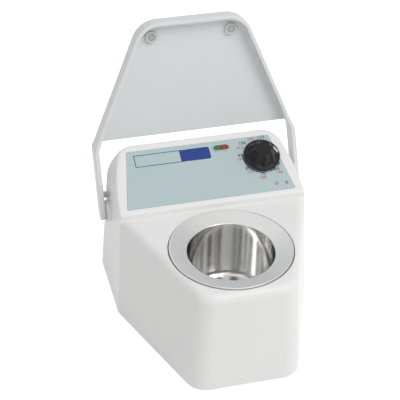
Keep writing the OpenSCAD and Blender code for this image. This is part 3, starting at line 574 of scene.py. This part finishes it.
# right half of the outline at height z, set in by inset, and by more as well over the front part
def lowHalf(z, inset, more):
    steps = housing["arcSteps"]
    taper = atan2(sideX(z) - frontX(z), kinkY(z) - faceY(z))
    full = housing["frontCorner"]
    cx, cy = frontX(z) - full*(1 - sin(taper))/cos(taper), faceY(z) + full
    r = full - inset - more
    corner = arcPoints(cx, cy, r, -90, -taper*180/pi, steps)
    kinkRow = kinkY(z) + inset*tan(taper/2)
    ex, ey = corner[-1]
    deep = (kinkRow - ey)*tan(taper) + ex
    side = sideX(z) - inset
    if more < 0.01:
        kink = softCorner((ex, ey), (deep, kinkRow), (side, kinkRow + 20), housing["kinkRound"], 4)
    else:
        near, far = housing["kinkNear"], housing["stepEdge"]
        kink = [(deep - d*tan(taper), kinkRow - d) for d in (far, near)]
        kink += [((deep + side)/2, kinkRow)] + [(side, kinkRow + d) for d in (near, far)]
    back = housing["rearCorner"]
    rear = arcPoints(sideX(z) - back, backY(z) - back, back - inset, 0, 90, housing["rearSteps"])
    return [(x, y, z) for x, y in corner + kink + rear]


# right half of a row that runs over the panel at y and round the rear at its own height;
# near the rear the rounded corner cuts into the row
def highHalf(y, z, rearZ, inset, more, edge, cut=0.0):
    steps = housing["arcSteps"]
    full, rear, r = shoulderX(rearZ, inset) - more, backY(rearZ) - inset - more, housing["rearCorner"] - inset
    cutIn = asin(max(0, min(1, (y + edge - rear + r)/r)))
    side = full - r*(1 - cos(cutIn))
    start = (cutIn + (pi/2 - cutIn)/2/housing["rearSteps"])*180/pi if cutIn > 0 else 0
    reach = side - max(edge, cut)
    flat = [(reach*(i + 1)/(steps + 2), y, z) for i in range(steps + 1)]
    turn = [(reach + (side - reach)*sin(a), y + edge*(1 - cos(a)), z + (rearZ - z)*(1 - cos(a)))
            for a in (k*pi/8 for k in range(5))]
    corner = [(x, v, rearZ) for x, v in arcPoints(full - r, rear - r, r, start, 90, housing["rearSteps"])]
    return flat + turn + corner


# whole outlines of the case from bottom to top, set in by inset from its outer face
def housingRings(inset, lowest):
    deck, edge = housing["deck"], housing["deckEdge"]
    r = edge - inset
    halves = [lowHalf(lowest, inset, 0), lowHalf(deck - edge, inset, 0)]
    n = housing["edgeSteps"]
    for k in range(1, n + 1):
        a = pi/2*k/n
        halves.append(lowHalf(deck - edge + r*sin(a), inset, r*(1 - cos(a))))
    # the step, rounded at its top into the slope
    soft = housing["stepRound"]
    cy = stepY + inset + housing["stepGap"] + soft
    cz = panelAt(cy, inset) - soft/cos(slope)
    top, rise, deckZ = housing["panelEdge"], housing["riseEdge"], deck - inset
    halves.append(highHalf(stepY + inset, deckZ, deckZ + housing["stepRise"], inset, 0,
                           housing["stepEdge"], r + 1))
    for k in range(7):
        a = radians(180 - k*(90 - housing["slope"])/6)
        y, z = cy + soft*cos(a), cz + soft*sin(a)
        halves.append(highHalf(y, z, z, inset, 0, rise + (top - rise)*k/6))
    # the panel, then the rear edge, whose rows lie level
    back = housing["rearEdge"]
    cy2 = backY(housing["top"]) - inset - back
    cz2 = panelAt(cy2, inset) - back/cos(slope)
    first = cy + soft*cos(radians(90 + housing["slope"]))
    last = cy2 - back*sin(slope) - (panelAt(cy2 - back*sin(slope), inset) - cz2)/tan(slope)
    n = housing["slopeSteps"]
    rows = [(first + (last - first)*k/(n - 1), 0) for k in range(1, n)]
    rows += [(last + back*sin(radians(a))/tan(slope), radians(a)) for a in (10, 22, 34, 46, 57)]
    rows += [(cy2 - back*cos(radians(a)), radians(a)) for a in (68, 76, 84)]
    for y, a in rows:
        z = cz2 + back*sin(a) if a else panelAt(y, inset)
        more = back*(1 - cos(a))
        edge = min(top, 0.55*(backY(z) - inset - more - y))
        halves.append(highHalf(y, z, z, inset, more, edge))
    return [half + [(-x, y, z) for x, y, z in reversed(half)] for half in halves]


# from the panel's plane, x across and s up the slope, to the frame
def panelPlace(x=0, s=0):
    return shift(0, stepY, panelZ) @ Matrix.Rotation(slope, 4, "X") @ shift(x, s, 0)


# from the plane of the rear wall, with a rise above its foot, to the frame
def backPlace(x, rise):
    return (shift(x, rearY, housing["foot"]) @ Matrix.Rotation(radians(housing["draft"]), 4, "X")
            @ shift(0, 0, rise) @ Matrix.Rotation(-pi/2, 4, "X"))


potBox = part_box("heating_pot")
wellY = (potBox[0].y + potBox[1].y)/2/mm
joints = {j["name"]: Vector(j["pos_m"])/mm for j in frame["joints"]}
hingeMount, knobMount = joints["lid_hinge"], joints["knob_turn"]
knobX, knobS = knobMount.x, (knobMount.y - stepY)/cos(slope)

# turned pot, and the pocket in the case that it sits in
pot = {"well": 25.3, "depth": 38, "ring": 36, "rim": 68.5, "drop": 2.9, "land": 0.8, "wall": 2.2,
       "base": 23.6, "fillet": 3, "rimThick": 1, "neck": 5, "soft": 0.4, "landRound": 0.6, "mouthRound": 0.7,
       "pocket": 36.6, "pocketEdge": 0.4, "ledge": 63.6, "ledgeThick": 2.7, "ledgeHole": 30.7,
       "cupWall": 2.2, "cupDrop": 2.3, "cutTop": 80, "turns": 192, "sharp": 40}
panelLength = (backY(housing["top"]) - stepY)/cos(slope)
label = {"low": 103.6, "top": 89, "start": 3.4, "length": panelLength - 9.8, "thick": 0.4, "corner": 0.8,
         "gap": 0.15, "shaftHole": 5.1, "sharp": 30}
lamp = {"x": 13.4, "s": panelLength - 11.4, "length": 10.4, "width": 4.6,
        "bezel": [(-1, -3.5), (-1, -2.5), (0, -2.5), (0, 0.3), (0.08, 0.48), (0.25, 0.6), (0.36, 0.58),
                  (0.5, 0.4), (0.5, -3.5)],
        "lens": [(0, -3.5), (0, 0.05), (0.08, 0.2), (0.25, 0.33), (0.55, 0.42), (0.95, 0.47)],
        "lensGap": 0.6, "lensApart": 0.05, "gap": 0.1, "sharp": 40}
inlet = {"x": -22, "rise": 24, "width": 27, "height": 19.6, "gap": 0.2}
switch = {"x": 28, "rise": 24, "width": 13, "height": 19.4, "gap": 0.2}


def labelOutline(grow):
    low, top = label["low"]/2 + grow, label["top"]/2 + grow
    start, end = label["start"] - grow, label["start"] + label["length"] + grow
    return roundedOutline([(-low, start), (low, start), (top, end), (-top, end)], label["corner"] + grow)


def lampOutline():
    return slotOutline(lamp["length"] + 2*lamp["gap"], lamp["width"] + 2*lamp["gap"])


# bosses that carry the lid, and the lugs that stop its arms when it is fully open
boss = {"radius": 6.5, "inside": 4.1, "outside": 2.3, "soft": 0.5}
lug = {"radius": 2, "inside": 2.5, "outside": 4.5, "soft": 0.3, "turn": 62, "along": 9, "aside": 7.35}
lugTurn = radians(lug["turn"])
stopPlace = (hingeMount.y + lug["along"]*cos(lugTurn) + lug["aside"]*sin(lugTurn),
             hingeMount.z + lug["along"]*sin(lugTurn) - lug["aside"]*cos(lugTurn))


# rod along x with softened ends
def across(radius, start, end, y, z, edge):
    low, high = sorted((start, end))
    place = shift(0, y, z) @ Matrix.Rotation(pi/2, 4, "Y")
    ease = 0.3*edge
    profile = [(0, low), (radius - edge, low), (radius - ease, low + ease), (radius, low + edge),
               (radius, high - edge), (radius - ease, high - ease), (radius - edge, high), (0, high)]
    return moved(spun("rod", profile, 48), place)


def buildHousing():
    shell = loftMesh("housingShell", housingRings(0, housing["foot"]))
    hollow = loftMesh("hollow", housingRings(housing["wall"], housing["foot"] - 1))
    ledge, hole, deck, edge = pot["ledge"], pot["pocket"], housing["deck"], pot["pocketEdge"]
    axis = (0, wellY)
    joins = [cylinderMesh(hole + pot["cupWall"], ledge - pot["ledgeThick"], deck - pot["cupDrop"], 96, axis)]
    wallX = sideX(hingeMount.z)
    for side in (-1, 1):
        for rod, y, z in ((boss, hingeMount.y, hingeMount.z), (lug, *stopPlace)):
            start, end = side*(wallX - rod["inside"]), side*(wallX + rod["outside"])
            joins.append(across(rod["radius"], start, end, y, z, rod["soft"]))
    rim = arcPoints(hole + edge, deck - edge, edge, 180, 90, 5)
    pocket = [(0, ledge), (hole, ledge)] + rim + [(hole + edge, pot["cutTop"]), (0, pot["cutTop"])]
    cuts = [spun("pocket", pocket, 128, axis), cylinderMesh(pot["ledgeHole"], 50, pot["cutTop"], 96, axis),
            moved(prism(labelOutline(label["gap"]), -label["thick"], 2), panelPlace()),
            moved(cylinderMesh(label["shaftHole"], -6, 3, 48), panelPlace(knobX, knobS)),
            moved(prism(lampOutline(), -6, 3), panelPlace(lamp["x"], lamp["s"]))]
    for fitting in (inlet, switch):
        w, h = fitting["width"]/2 + fitting["gap"], fitting["height"]/2 + fitting["gap"]
        cuts.append(moved(prism([(-w, -h), (w, -h), (w, h), (-w, h)], -5, 5),
                          backPlace(fitting["x"], fitting["rise"])))
    steps = [("DIFFERENCE", hollow)]
    steps += [("UNION", solid) for solid in joins] + [("DIFFERENCE", solid) for solid in cuts]
    addObject("housing_case", carve("housingCase", shell, steps), "housing_body", "housing_plastic",
              "housing", sharp=housing["sharp"])


buildHousing()
print("housing ready")


def buildPot():
    mouth = pot["rim"] - pot["drop"]
    floorZ = mouth - pot["depth"]
    under = mouth - pot["rimThick"]
    outer = pot["well"] + pot["wall"]
    r, neck, soft = pot["ring"], pot["neck"], pot["soft"]
    profile = [(0, pot["base"]), (outer - 1, pot["base"]), (outer, pot["base"] + 1),
               (outer, under - neck - 1), (outer + 1, under - neck), (outer + 1, under),
               (r - soft, under), (r, under + soft)]
    profile += arcPoints(r - soft, pot["rim"] - soft, soft, 0, 90, 5)
    profile += softCorner((r + 2, pot["rim"]), (r - pot["land"], pot["rim"]), (pot["well"], mouth),
                          pot["landRound"], 3)
    profile += softCorner((r, pot["rim"]), (pot["well"], mouth), (pot["well"], floorZ),
                          pot["mouthRound"], 6)
    profile += arcPoints(pot["well"] - pot["fillet"], floorZ + pot["fillet"], pot["fillet"], 0, -90, 10)
    profile += [(0.4, floorZ), (0, floorZ)]
    data = spun("pot", profile, pot["turns"], (0, wellY))
    layer = data.uv_layers.new(name="around")
    for face in data.polygons:
        angles = []
        for i in face.loop_indices:
            p = data.vertices[data.loops[i].vertex_index].co
            angles.append((i, atan2(p.y - wellY*mm, p.x)/(2*pi), p.z, sqrt(p.x**2 + (p.y - wellY*mm)**2)))
        wrap = max(a[1] for a in angles) > 0.25 and min(a[1] for a in angles) < -0.25
        for i, a, z, radius in angles:
            layer.data[i].uv = (a + 1 if wrap and a < 0 else a, z*4 + radius*4)
    metal = turnedMetal("turnedAluminium", (0, wellY*mm, 0))
    addObject("turned_pot", data, "housing_body", "turned_aluminium", "heating_pot", skin=metal,
              sharp=pot["sharp"])


buildPot()
print("pot ready")

# in the hinge's frame with the lid closed; armRows are angles round an arm's end and sideRows shares
# of the straight side, both closer together where the section changes
lid = {"plateIn": 17.6, "top": 19.6, "rimLow": 9.6, "front": -113.736, "frontX": 31.436, "corner": 16,
       "wall": 2.6, "edge": 2.2, "armIn": 60.406, "armOut": 63.306, "armInBend": -36.22, "bend": -36,
       "plateRear": -38.5, "armEnd": 5.25, "slope": 19, "bendRound": 6, "soft": 0.7, "fillet": 1.3,
       "stub": 3, "open": 99, "bumperX": 24.3, "bumperY": -103, "bumperR": 3.7, "bumperHigh": 2.4,
       "inBend": 3.6, "plateGap": 2.3, "post": 2, "washer": 1.6, "bumperBore": 2.1, "bumperMouth": 2.5,
       "topEases": (-36.7, -35.2), "edgeEases": (-40, -35.5), "plateStarts": (-44, -40.5),
       "sideRows": (0.025, 0.05, 0.075, 0.095, 0.11, 0.125, 0.15, 0.18, 0.25, 0.4, 0.6, 0.8),
       "armRows": (88, 80, 70, 60, 50, 40, 30, 19, 8, -6, -19), "sharp": 34, "padSharp": 35}
lidTaper = atan2(lid["armOut"] - lid["frontX"], lid["bend"] - lid["front"])
lidCorner = (lid["frontX"] - lid["corner"]*(1 - sin(lidTaper))/cos(lidTaper), lid["front"] + lid["corner"])
lidPlace = shift(*hingeMount) @ Matrix.Rotation(-radians(lid["open"]), 4, "X")


def ramp(x, start, end):
    t = max(0.0, min(1.0, (x - start)/(end - start)))
    return t*t*(3 - 2*t)


# lower and upper edge of rim and arm at a distance from the hinge
def lidLow(y):
    r, a = lid["armEnd"], radians(lid["slope"])
    if y > -r*sin(a):
        return -sqrt(max(0.0, r*r - y*y))
    line = -r*cos(a) - (y + r*sin(a))*tan(a)
    return (lid["rimLow"] + line)/2 - sqrt(((lid["rimLow"] - line)/2)**2 + 0.1)


def lidTop(y):
    r, a = lid["armEnd"], radians(lid["slope"])
    if y > r*sin(a):
        return sqrt(max(0.0, r*r - y*y))
    line = r*cos(a) - (y - r*sin(a))*tan(a)
    return lid["top"] + (line - lid["top"])*ramp(y, *lid["topEases"])


# outer and inner points of the rim and arms in plan, from the right arm's end to the front
def lidPath():
    r, toRear = lid["corner"], -degrees(lidTaper)
    around = [lid["armEnd"]*sin(radians(a)) for a in lid["armRows"]]
    rows = [((lid["armOut"], y), (lid["armIn"], y)) for y in around + [-6, -12, -18, -24, -30]]
    outerArc = arcPoints(*lidCorner, r, toRear, -90, 16)
    innerArc = arcPoints(*lidCorner, r - lid["wall"], toRear, -90, 16)
    bends = (("armOut", "bend", "bendRound", outerArc), ("armIn", "armInBend", "inBend", innerArc))
    rows += zip(*[softCorner((lid[x], 0), (lid[x], lid[y]), arc[0], lid[size], 8)
                  for x, y, size, arc in bends])
    outerEnd, innerEnd = Vector(rows[-1][0]), Vector(rows[-1][1])
    for k in lid["sideRows"]:
        rows.append((tuple(outerEnd.lerp(Vector(outerArc[0]), k)),
                     tuple(innerEnd.lerp(Vector(innerArc[0]), k))))
    rows += zip(outerArc, innerArc)
    rows.append(tuple((lidCorner[0]/2, lid["front"] + inward) for inward in (0, lid["wall"])))
    return rows


# section through rim or arm, with a fillet where the plate joins
def lidSection(outer, inner):
    o, i = Vector(outer), Vector(inner)
    way = (i - o).normalized()
    w = (i - o).length
    high = lidTop(o.y) - lidLow(o.y)
    soft = min(lid["soft"], high*0.3)
    onPlate = 1 - ramp(o.y, *lid["plateStarts"])
    fillet = 0.02 + (lid["fillet"] - 0.02)*onPlate
    edge = soft + (lid["edge"] - soft)*(1 - ramp(o.y, *lid["edgeEases"]))
    plate = min(lid["top"] - lid["plateIn"], high*0.4)
    low = arcPoints(soft, soft, soft, 180, 270, 3) + arcPoints(w - soft, soft, soft, 270, 360, 3)
    top = arcPoints(w + fillet, plate + fillet, fillet, 180, 270, 4)
    top += [(w + fillet, plate*0.6), (w + 0.01, plate*0.55)]
    inside = 0.2 + (soft - 0.25)*ramp(o.y, *lid["edgeEases"])
    top += arcPoints(w - inside, inside, inside, 0, -90, 3) + arcPoints(edge, edge, edge, 270, 180, 5)
    points = []
    for distance, rise in low:
        p = o + way*distance
        points.append((p.x, p.y, lidLow(p.y) + rise))
    for distance, drop in top:
        p = o + way*distance
        points.append((p.x, p.y, lidTop(p.y) - drop))
    return points


def buildLid():
    half = [lidSection(outer, inner) for outer, inner in lidPath()]
    other = [[(-x, y, z) for x, y, z in ring] for ring in reversed(half)]
    band = loftMesh("rim", half + other)
    corner = arcPoints(*lidCorner, lid["corner"] - lid["plateGap"], -90, -degrees(lidTaper), 16)
    ex, ey = corner[-1]
    rear = lid["plateRear"]
    corner.append((ex + (rear - ey)*tan(lidTaper), rear))
    plate = prism(corner + [(-x, y) for x, y in reversed(corner)], lid["plateIn"], lid["top"])
    steps = [("UNION", plate)]
    stubIn = sideX(hingeMount.z) - housing["wall"] - lid["washer"] - lid["wall"]
    for side in (-1, 1):
        steps.append(("UNION", across(lid["stub"], side*stubIn, side*(lid["armIn"] + 1), 0, 0, 0.3)))
        steps.append(("UNION", cylinderMesh(lid["post"], lid["plateIn"] - 1.5, lid["plateIn"] + 0.4, 32,
                                            (side*lid["bumperX"], lid["bumperY"]))))
    data = moved(carve("lidShell", band, steps), lidPlace)
    addObject("lid_shell", data, "lid_body", "lid_plastic", "lid", sharp=lid["sharp"])


buildLid()
print("lid ready")

# in the plane of the panel, with heights above it
knob = {"clear": 0.5, "flutes": 8, "fluteRadius": 2.6, "fluteFrom": 10.9, "fluteFoot": 2.6,
        "lean": 29.6, "bore": 4.25, "boreTop": 7.3, "cavity": 8.6, "cavityTop": 3.1,
        "fluteFades": (2.3, 3.0), "fluteInner": 4, "fluteSoft": 0.03, "pointerTurn": 3, "pointerWidth": 1.7,
        "pointerDeep": (0.9, 0.6), "turns": 192, "sharp": 38, "pointerSharp": 30}
pointerTop = [(10.1, 2.3), (10.0, 2.85), (9.3, 3.7), (8.4, 5.0), (7.5, 6.6), (7.0, 7.3), (6.6, 7.6)]
knobSide = [(11.2, 0.7), (11.2, 1.45), (11.12, 1.66), (10.9, 1.85), (10.6, 2.0), (10.0, 2.28), (9.62, 2.45),
            (9.36, 2.68), (9.1, 3.1), (8.6, 4.0), (8.1, 4.87), (7.5, 5.93), (7.0, 6.8), (6.7, 7.33),
            (6.48, 7.68), (6.3, 7.93), (6.0, 8.16), (5.6, 8.34), (5.1, 8.44), (4.6, 8.44), (4.2, 8.38),
            (3.0, 8.34), (1.2, 8.33)]


# radius of the fluted side at a height and an angle from the nearest flute
def knobRadius(r, z, off):
    if z < knob["fluteFades"][0] or r < knob["fluteInner"]:
        return r
    lean = radians(knob["lean"])
    middle = knob["fluteFrom"] - (z - knob["fluteFoot"])*tan(lean)
    wide, long = knob["fluteRadius"], knob["fluteRadius"]/cos(lean)
    a = (cos(off)/long)**2 + (sin(off)/wide)**2
    b = -2*middle*cos(off)/long**2
    c = (middle/long)**2 - 1
    under = b*b - 4*a*c
    if under <= 0:
        return r
    cut = (-b - sqrt(under))/(2*a)
    soft = (r + cut)/2 - sqrt(((r - cut)/2)**2 + knob["fluteSoft"])
    return r + (min(r, soft + 0.05) - r)*ramp(z, *knob["fluteFades"])


def buildKnob():
    n = knob["turns"]
    inner = [(0, knob["boreTop"]), (knob["bore"], knob["boreTop"]), (knob["bore"], knob["cavityTop"]),
             (knob["cavity"], knob["cavityTop"]), (knob["cavity"], knob["clear"])]
    side = [(knobSide[0][0] - 0.2, knob["clear"])] + knobSide + [(0, knobSide[-1][1])]
    pitch = 2*pi/knob["flutes"]
    rings = []
    for k in range(n):
        a = 2*pi*k/n
        off = (a % pitch) - pitch/2
        section = inner + [(knobRadius(r, z, off), z) for r, z in side]
        rings.append([(r*cos(a), r*sin(a), z) for r, z in section])
    data = moved(loftMesh("knobShell", rings, closed=True), panelPlace(knobX, knobS))
    addObject("dial_knob", data, "knob_body", "knob_plastic", "knob", sharp=knob["sharp"])
    inward, down = knob["pointerDeep"]
    under = [(r - inward, z - down) for r, z in reversed(pointerTop)]
    half = knob["pointerWidth"]/2
    outline = pointerTop + under
    strip = outwards(meshFrom("strip", [(r, side*half, z) for side in (-1, 1) for r, z in outline],
                              stripFaces(len(outline))))
    moved(strip, panelPlace(knobX, knobS) @ Matrix.Rotation(radians(knob["pointerTurn"]), 4, "Z"))
    shade(strip, knob["pointerSharp"])
    addObject("dial_pointer", strip, "knob_body", "pointer_white", "knob_pointer")


buildKnob()
print("knob ready")

# print on the label, in the same plane: heights above and below its face, line width, lettering
ink = {"high": 0.035, "deep": 0.03, "line": 0.45, "space": 1.08, "bold": 0.04}
sign = {"left": -41.0, "split": -12.7, "right": 6.0, "low": 31.75, "top": 40.25, "round": 1.4,
        "overlap": 0.4, "inner": 4}
dial = {"steps": 6, "first": 60, "by": 10, "start": -56, "turn": -44.6, "radius": 12.5, "spread": 0.2,
        "size": 3.0, "secondSize": 0.9, "shift": (0, 0, 0, 0, -1.9, 0.6),
        "second": ((1.0, -2.7), (-0.5, -2.6), (1.0, -2.7), (-0.7, -2.7), (-2.3, -3.0), (-6.5, -0.2)),
        # each arc from one angle to another, between two radii
        "arcs": [(-30, -47, 11.3, 11.95), (-53, -80, 11.3, 11.95), (-84, -196, 11.3, 12.1)]}
marks = {"radii": (1.05, 0.62), "places": (("mark_ring_red", 41.2, 8.3, "inkRed"),
                                           ("mark_ring_blue", 47.4, 8.1, "inkBlue"))}


def buildLabel():
    rings = []
    for grow, h in ((0, -label["thick"]), (0, -0.1), (-0.04, -0.02), (-0.12, 0)):
        rings.append([(x, s, h) for x, s in labelOutline(grow)])
    film = loftMesh("film", rings)
    cuts = [("DIFFERENCE", cylinderMesh(label["shaftHole"], -2, 2, 48, (knobX, knobS))),
            ("DIFFERENCE", moved(prism(lampOutline(), -2, 2), shift(lamp["x"], lamp["s"], 0)))]
    data = moved(carve("film", film, cuts), panelPlace())
    addObject("panel_film", data, "housing_body", "label_film", "control_label", sharp=label["sharp"])


# joins the parts into one piece of print on the panel
def printed(name, parts, skin):
    bm = bmesh.new()
    for data in parts:
        bm.from_mesh(data)
    out = bpy.data.meshes.new("joined")
    bm.to_mesh(out)
    bm.free()
    addObject(name, moved(out, panelPlace()), "housing_body", "label_film", skin=skins[skin])


# closed band between two outlines with the same number of points
def bandPrint(outer, inner):
    low, high = -ink["deep"], ink["high"]
    rings = [[(x, y, h) for x, y in line] for line, h in
             ((outer, low), (outer, high), (inner, high), (inner, low))]
    return loftMesh("band", rings, closed=True)


def numberMesh(text, x, s, size):
    curve = bpy.data.curves.new("number", "FONT")
    curve.body = text
    curve.size = size*mm
    curve.extrude = (ink["high"] + ink["deep"])/2*mm
    curve.align_x = curve.align_y = "CENTER"
    curve.resolution_u = 3
    curve.space_character = ink["space"]
    curve.offset = ink["bold"]*mm
    data = settle(newObject("number", curve))
    return moved(data, shift(x, s, (ink["high"] - ink["deep"])/2))


def buildPrint():
    low, high, w = sign["low"], sign["top"], ink["line"]
    left, split, right = sign["left"], sign["split"], sign["right"]
    end, soft = split + sign["overlap"], split + sign["inner"]

    def box(d):
        return [(left + d, low + d), (end, low + d), (end, high - d), (left + d, high - d)]

    printed("sign_frame", [bandPrint(box(0), box(w))], "inkBlue")
    field = roundedOutline([(soft, low), (right, low), (right, high), (soft, high)], sign["round"])
    field = [(split, low)] + [p for p in field if p[0] > soft + sign["round"]/2] + [(split, high)]
    printed("sign_field", [prism(field, -ink["deep"], ink["high"])], "inkBlue")
    blue, red = [], []
    for k in range(dial["steps"]):
        value = dial["first"] + k*dial["by"]
        a = radians(dial["start"] + k*dial["turn"])
        r = dial["radius"] + dial["spread"]*k
        x, s = knobX + r*cos(a) + dial["shift"][k], knobS + r*sin(a)
        blue.append(numberMesh(str(value), x, s, dial["size"]))
        dx, ds = dial["second"][k]
        red.append(numberMesh(str(round(value*9/5 + 32)), x + dx, s + ds, dial["size"]*dial["secondSize"]))
    arcs = []
    for start, end, inner, outer in dial["arcs"]:
        n = max(4, round(abs(end - start)/4))
        fade = [outer - (outer - inner)*0.5*abs(2*k/n - 1)**3 for k in range(n + 1)]
        turn = [radians(start + (end - start)*k/n) for k in range(n + 1)]
        line = [(knobX + r*cos(a), knobS + r*sin(a)) for r, a in zip(fade, turn)]
        line += [(knobX + inner*cos(a), knobS + inner*sin(a)) for a in reversed(turn)]
        arcs.append(prism(line, -ink["deep"], ink["high"]))
    printed("dial_numbers", blue, "inkNavy")
    printed("dial_second_numbers", red, "inkRed")
    printed("dial_arcs", arcs, "inkNavy")
    for name, x, s, skin in marks["places"]:
        outer, inner = (arcPoints(x, s, r, 0, 352, 22) for r in marks["radii"])
        printed(name, [bandPrint(outer, inner)], skin)


buildLabel()
buildPrint()
print("label ready")


def buildIndicator():
    place = panelPlace(lamp["x"], lamp["s"])
    length, width = lamp["length"], lamp["width"]
    rings = [[(x, y, h) for x, y in slotOutline(length - 2*d, width - 2*d)] for d, h in lamp["bezel"]]
    data = moved(loftMesh("bezel", rings, closed=True), place)
    addObject("lamp_bezel", data, "housing_body", "light_plastic", "indicator_bezel", sharp=lamp["sharp"])
    for side, name, slotName, node in ((-1, "lamp_green", "green_lens", "lens_green"),
                                       (1, "lamp_red", "red_lens", "lens_red")):
        reach, half = (length - width)/2, (width - 2*lamp["lensGap"])/2
        rings = []
        for d, h in lamp["lens"]:
            arc = arcPoints(reach, 0, half - d, -90, 90, 14)
            start = lamp["lensApart"] + d*0.6
            rings.append([(side*x, y, h) for x, y in [(start, d - half)] + arc + [(start, half - d)]])
        data = moved(loftMesh(name, rings), place)
        addObject(name, data, "housing_body", slotName, node, sharp=lamp["sharp"])


buildIndicator()
print("indicator ready")

screw = {"head": 3, "high": 1.6, "round": 0.55, "slot": 0.6, "deep": 0.7, "reach": 2.1, "shank": 1.5,
         "base": 11, "inlet": 9, "inletX": 20, "inletProud": 2.5, "sharp": 35}
foot = {"radius": 7, "high": 3, "hole": 3.3, "web": 0.8, "bore": 1.6, "round": 1, "fromWall": 1,
        "fromCorner": 3, "fromRear": 6, "sharp": 35}


def screwMesh(length):
    shank, head, high, edge = (screw[key] for key in ("shank", "head", "high", "round"))
    profile = [(0, -length), (shank - 0.3, -length), (shank, 0.3 - length), (shank, 0), (head, 0),
               (head, high - edge*1.6)]
    profile += [(head - edge + edge*cos(a), high - edge*1.6 + 1.2*edge*sin(a))
                for a in (radians(30), radians(60))]
    profile += [(head - edge*1.3, high - 0.2), (head*0.5, high - 0.04), (0, high)]
    half, reach = screw["slot"]/2, screw["reach"]
    slots = [prism([(-w, -d), (w, -d), (w, d), (-w, d)], high - screw["deep"], high + 1)
             for w, d in ((reach, half), (half, reach))]
    cross = [("DIFFERENCE", slot) for slot in slots]
    return steadyShade(carve("screw", spun("screw", profile, 48), cross), screw["sharp"])


# copies of a mesh at points, made with geometry nodes and joined into one piece
def repeated(source, places, skin):
    points = bpy.data.meshes.new("places")
    points.from_pydata([Vector(p)*mm for p in places], [], [])
    holder = newObject("copies", points)
    model = newObject("model", source)
    tree = bpy.data.node_groups.new("copiesAtPoints", "GeometryNodeTree")
    tree.interface.new_socket("Geometry", in_out="INPUT", socket_type="NodeSocketGeometry")
    thing = tree.interface.new_socket("Model", in_out="INPUT", socket_type="NodeSocketObject")
    look = tree.interface.new_socket("Skin", in_out="INPUT", socket_type="NodeSocketMaterial")
    tree.interface.new_socket("Geometry", in_out="OUTPUT", socket_type="NodeSocketGeometry")
    start = tree.nodes.new("NodeGroupInput").outputs
    info = addNode(tree, "GeometryNodeObjectInfo", {"Object": start["Model"]})
    put = addNode(tree, "GeometryNodeInstanceOnPoints",
                  {"Points": start["Geometry"], "Instance": info.outputs["Geometry"]})
    real = addNode(tree, "GeometryNodeRealizeInstances", {"Geometry": put.outputs["Instances"]})
    dress = addNode(tree, "GeometryNodeSetMaterial",
                    {"Geometry": real.outputs["Geometry"], "Material": start["Skin"]})
    addNode(tree, "NodeGroupOutput", {"Geometry": dress.outputs["Geometry"]})
    mod = holder.modifiers.new("copies", "NODES")
    mod.node_group = tree
    mod[thing.identifier] = model
    mod[look.identifier] = skin
    return settle(holder, model)


def footMesh():
    r, high, hole, web = foot["radius"], foot["high"], foot["hole"], foot["web"]
    bore, edge = foot["bore"], foot["round"]
    profile = [(bore, high), (r, high)] + arcPoints(r - edge, edge, edge, 0, -90, 5)
    profile += [(hole + 0.5, 0), (hole, 0.4), (hole, high - web), (bore, high - web)]
    return steadyShade(spun("foot", profile, 64), foot["sharp"])


def postPlaces(z):
    inset = housing["wall"] + foot["radius"] + foot["fromWall"]
    low = foot["high"]
    farY = backY(low) - housing["rearCorner"] - foot["fromRear"]
    frontIn = frontX(low) - foot["radius"] - foot["fromCorner"]
    places = ((sideX(low) - inset, farY), (frontIn, faceY(low) + inset))
    return [(side*x, y, z) for x, y in places for side in (-1, 1)]


def buildRepeats():
    steel, rubber, pale = (skins[name] for name in ("screwSteel", "rubber", "bumperRubber"))
    down = moved(screwMesh(screw["base"]), Matrix.Rotation(pi, 4, "X"))
    data = repeated(down, postPlaces(foot["high"] - foot["web"]), steel)
    addObject("base_screw_set", data, "housing_body", "screw_steel", "base_screws")
    data = repeated(footMesh(), postPlaces(0), rubber)
    addObject("foot_set", data, "housing_body", "rubber", "feet")
    places = [(side*screw["inletX"], 0, screw["inletProud"]) for side in (-1, 1)]
    data = moved(repeated(screwMesh(screw["inlet"]), places, steel), backPlace(inlet["x"], inlet["rise"]))
    addObject("inlet_screw_set", data, "housing_body", "screw_steel", "inlet_screws")
    r, plate = lid["bumperR"], lid["plateIn"]
    low = plate - lid["bumperHigh"]
    bore, mouth = lid["bumperBore"], lid["bumperMouth"]
    profile = [(bore, plate), (r, plate), (r, low + 0.5), (r - 0.16, low + 0.16), (r - 0.5, low),
               (mouth, low), (2.2, low + 0.12), (bore, low + 0.4)]
    pad = steadyShade(spun("pad", profile, 64), lid["padSharp"])
    places = [(side*lid["bumperX"], lid["bumperY"], 0) for side in (-1, 1)]
    data = moved(repeated(pad, places, pale), lidPlace)
    addObject("lid_pads", data, "lid_body", "bumper_rubber", "lid_bumpers")


buildRepeats()
print("repeats ready")

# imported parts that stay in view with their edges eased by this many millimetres
softened = {"power_inlet": 0.4, "switch_frame": 0.35, "switch_rocker": 0.3, "base_plate": 0.2,
            "inlet_pins": 0.15}

for part in record["subparts"]:
    node = frame["nodes"][part["node"]]
    if node.hide_render:
        continue
    # the turned metal is made for the pot alone, so the ring nut round it takes plain steel
    skin = skins.get(finishOf(part["material_slot"])) or skins["shaftSteel"]
    node.data.materials.clear()
    node.data.materials.append(skin)
    if part["node"] in softened:
        edge = node.modifiers.new("edge", "BEVEL")
        edge.width = softened[part["node"]]*mm
        edge.segments = 2
        edge.limit_method = "ANGLE"
        edge.angle_limit = radians(40)
        edge.harden_normals = True
print("packed parts dressed")
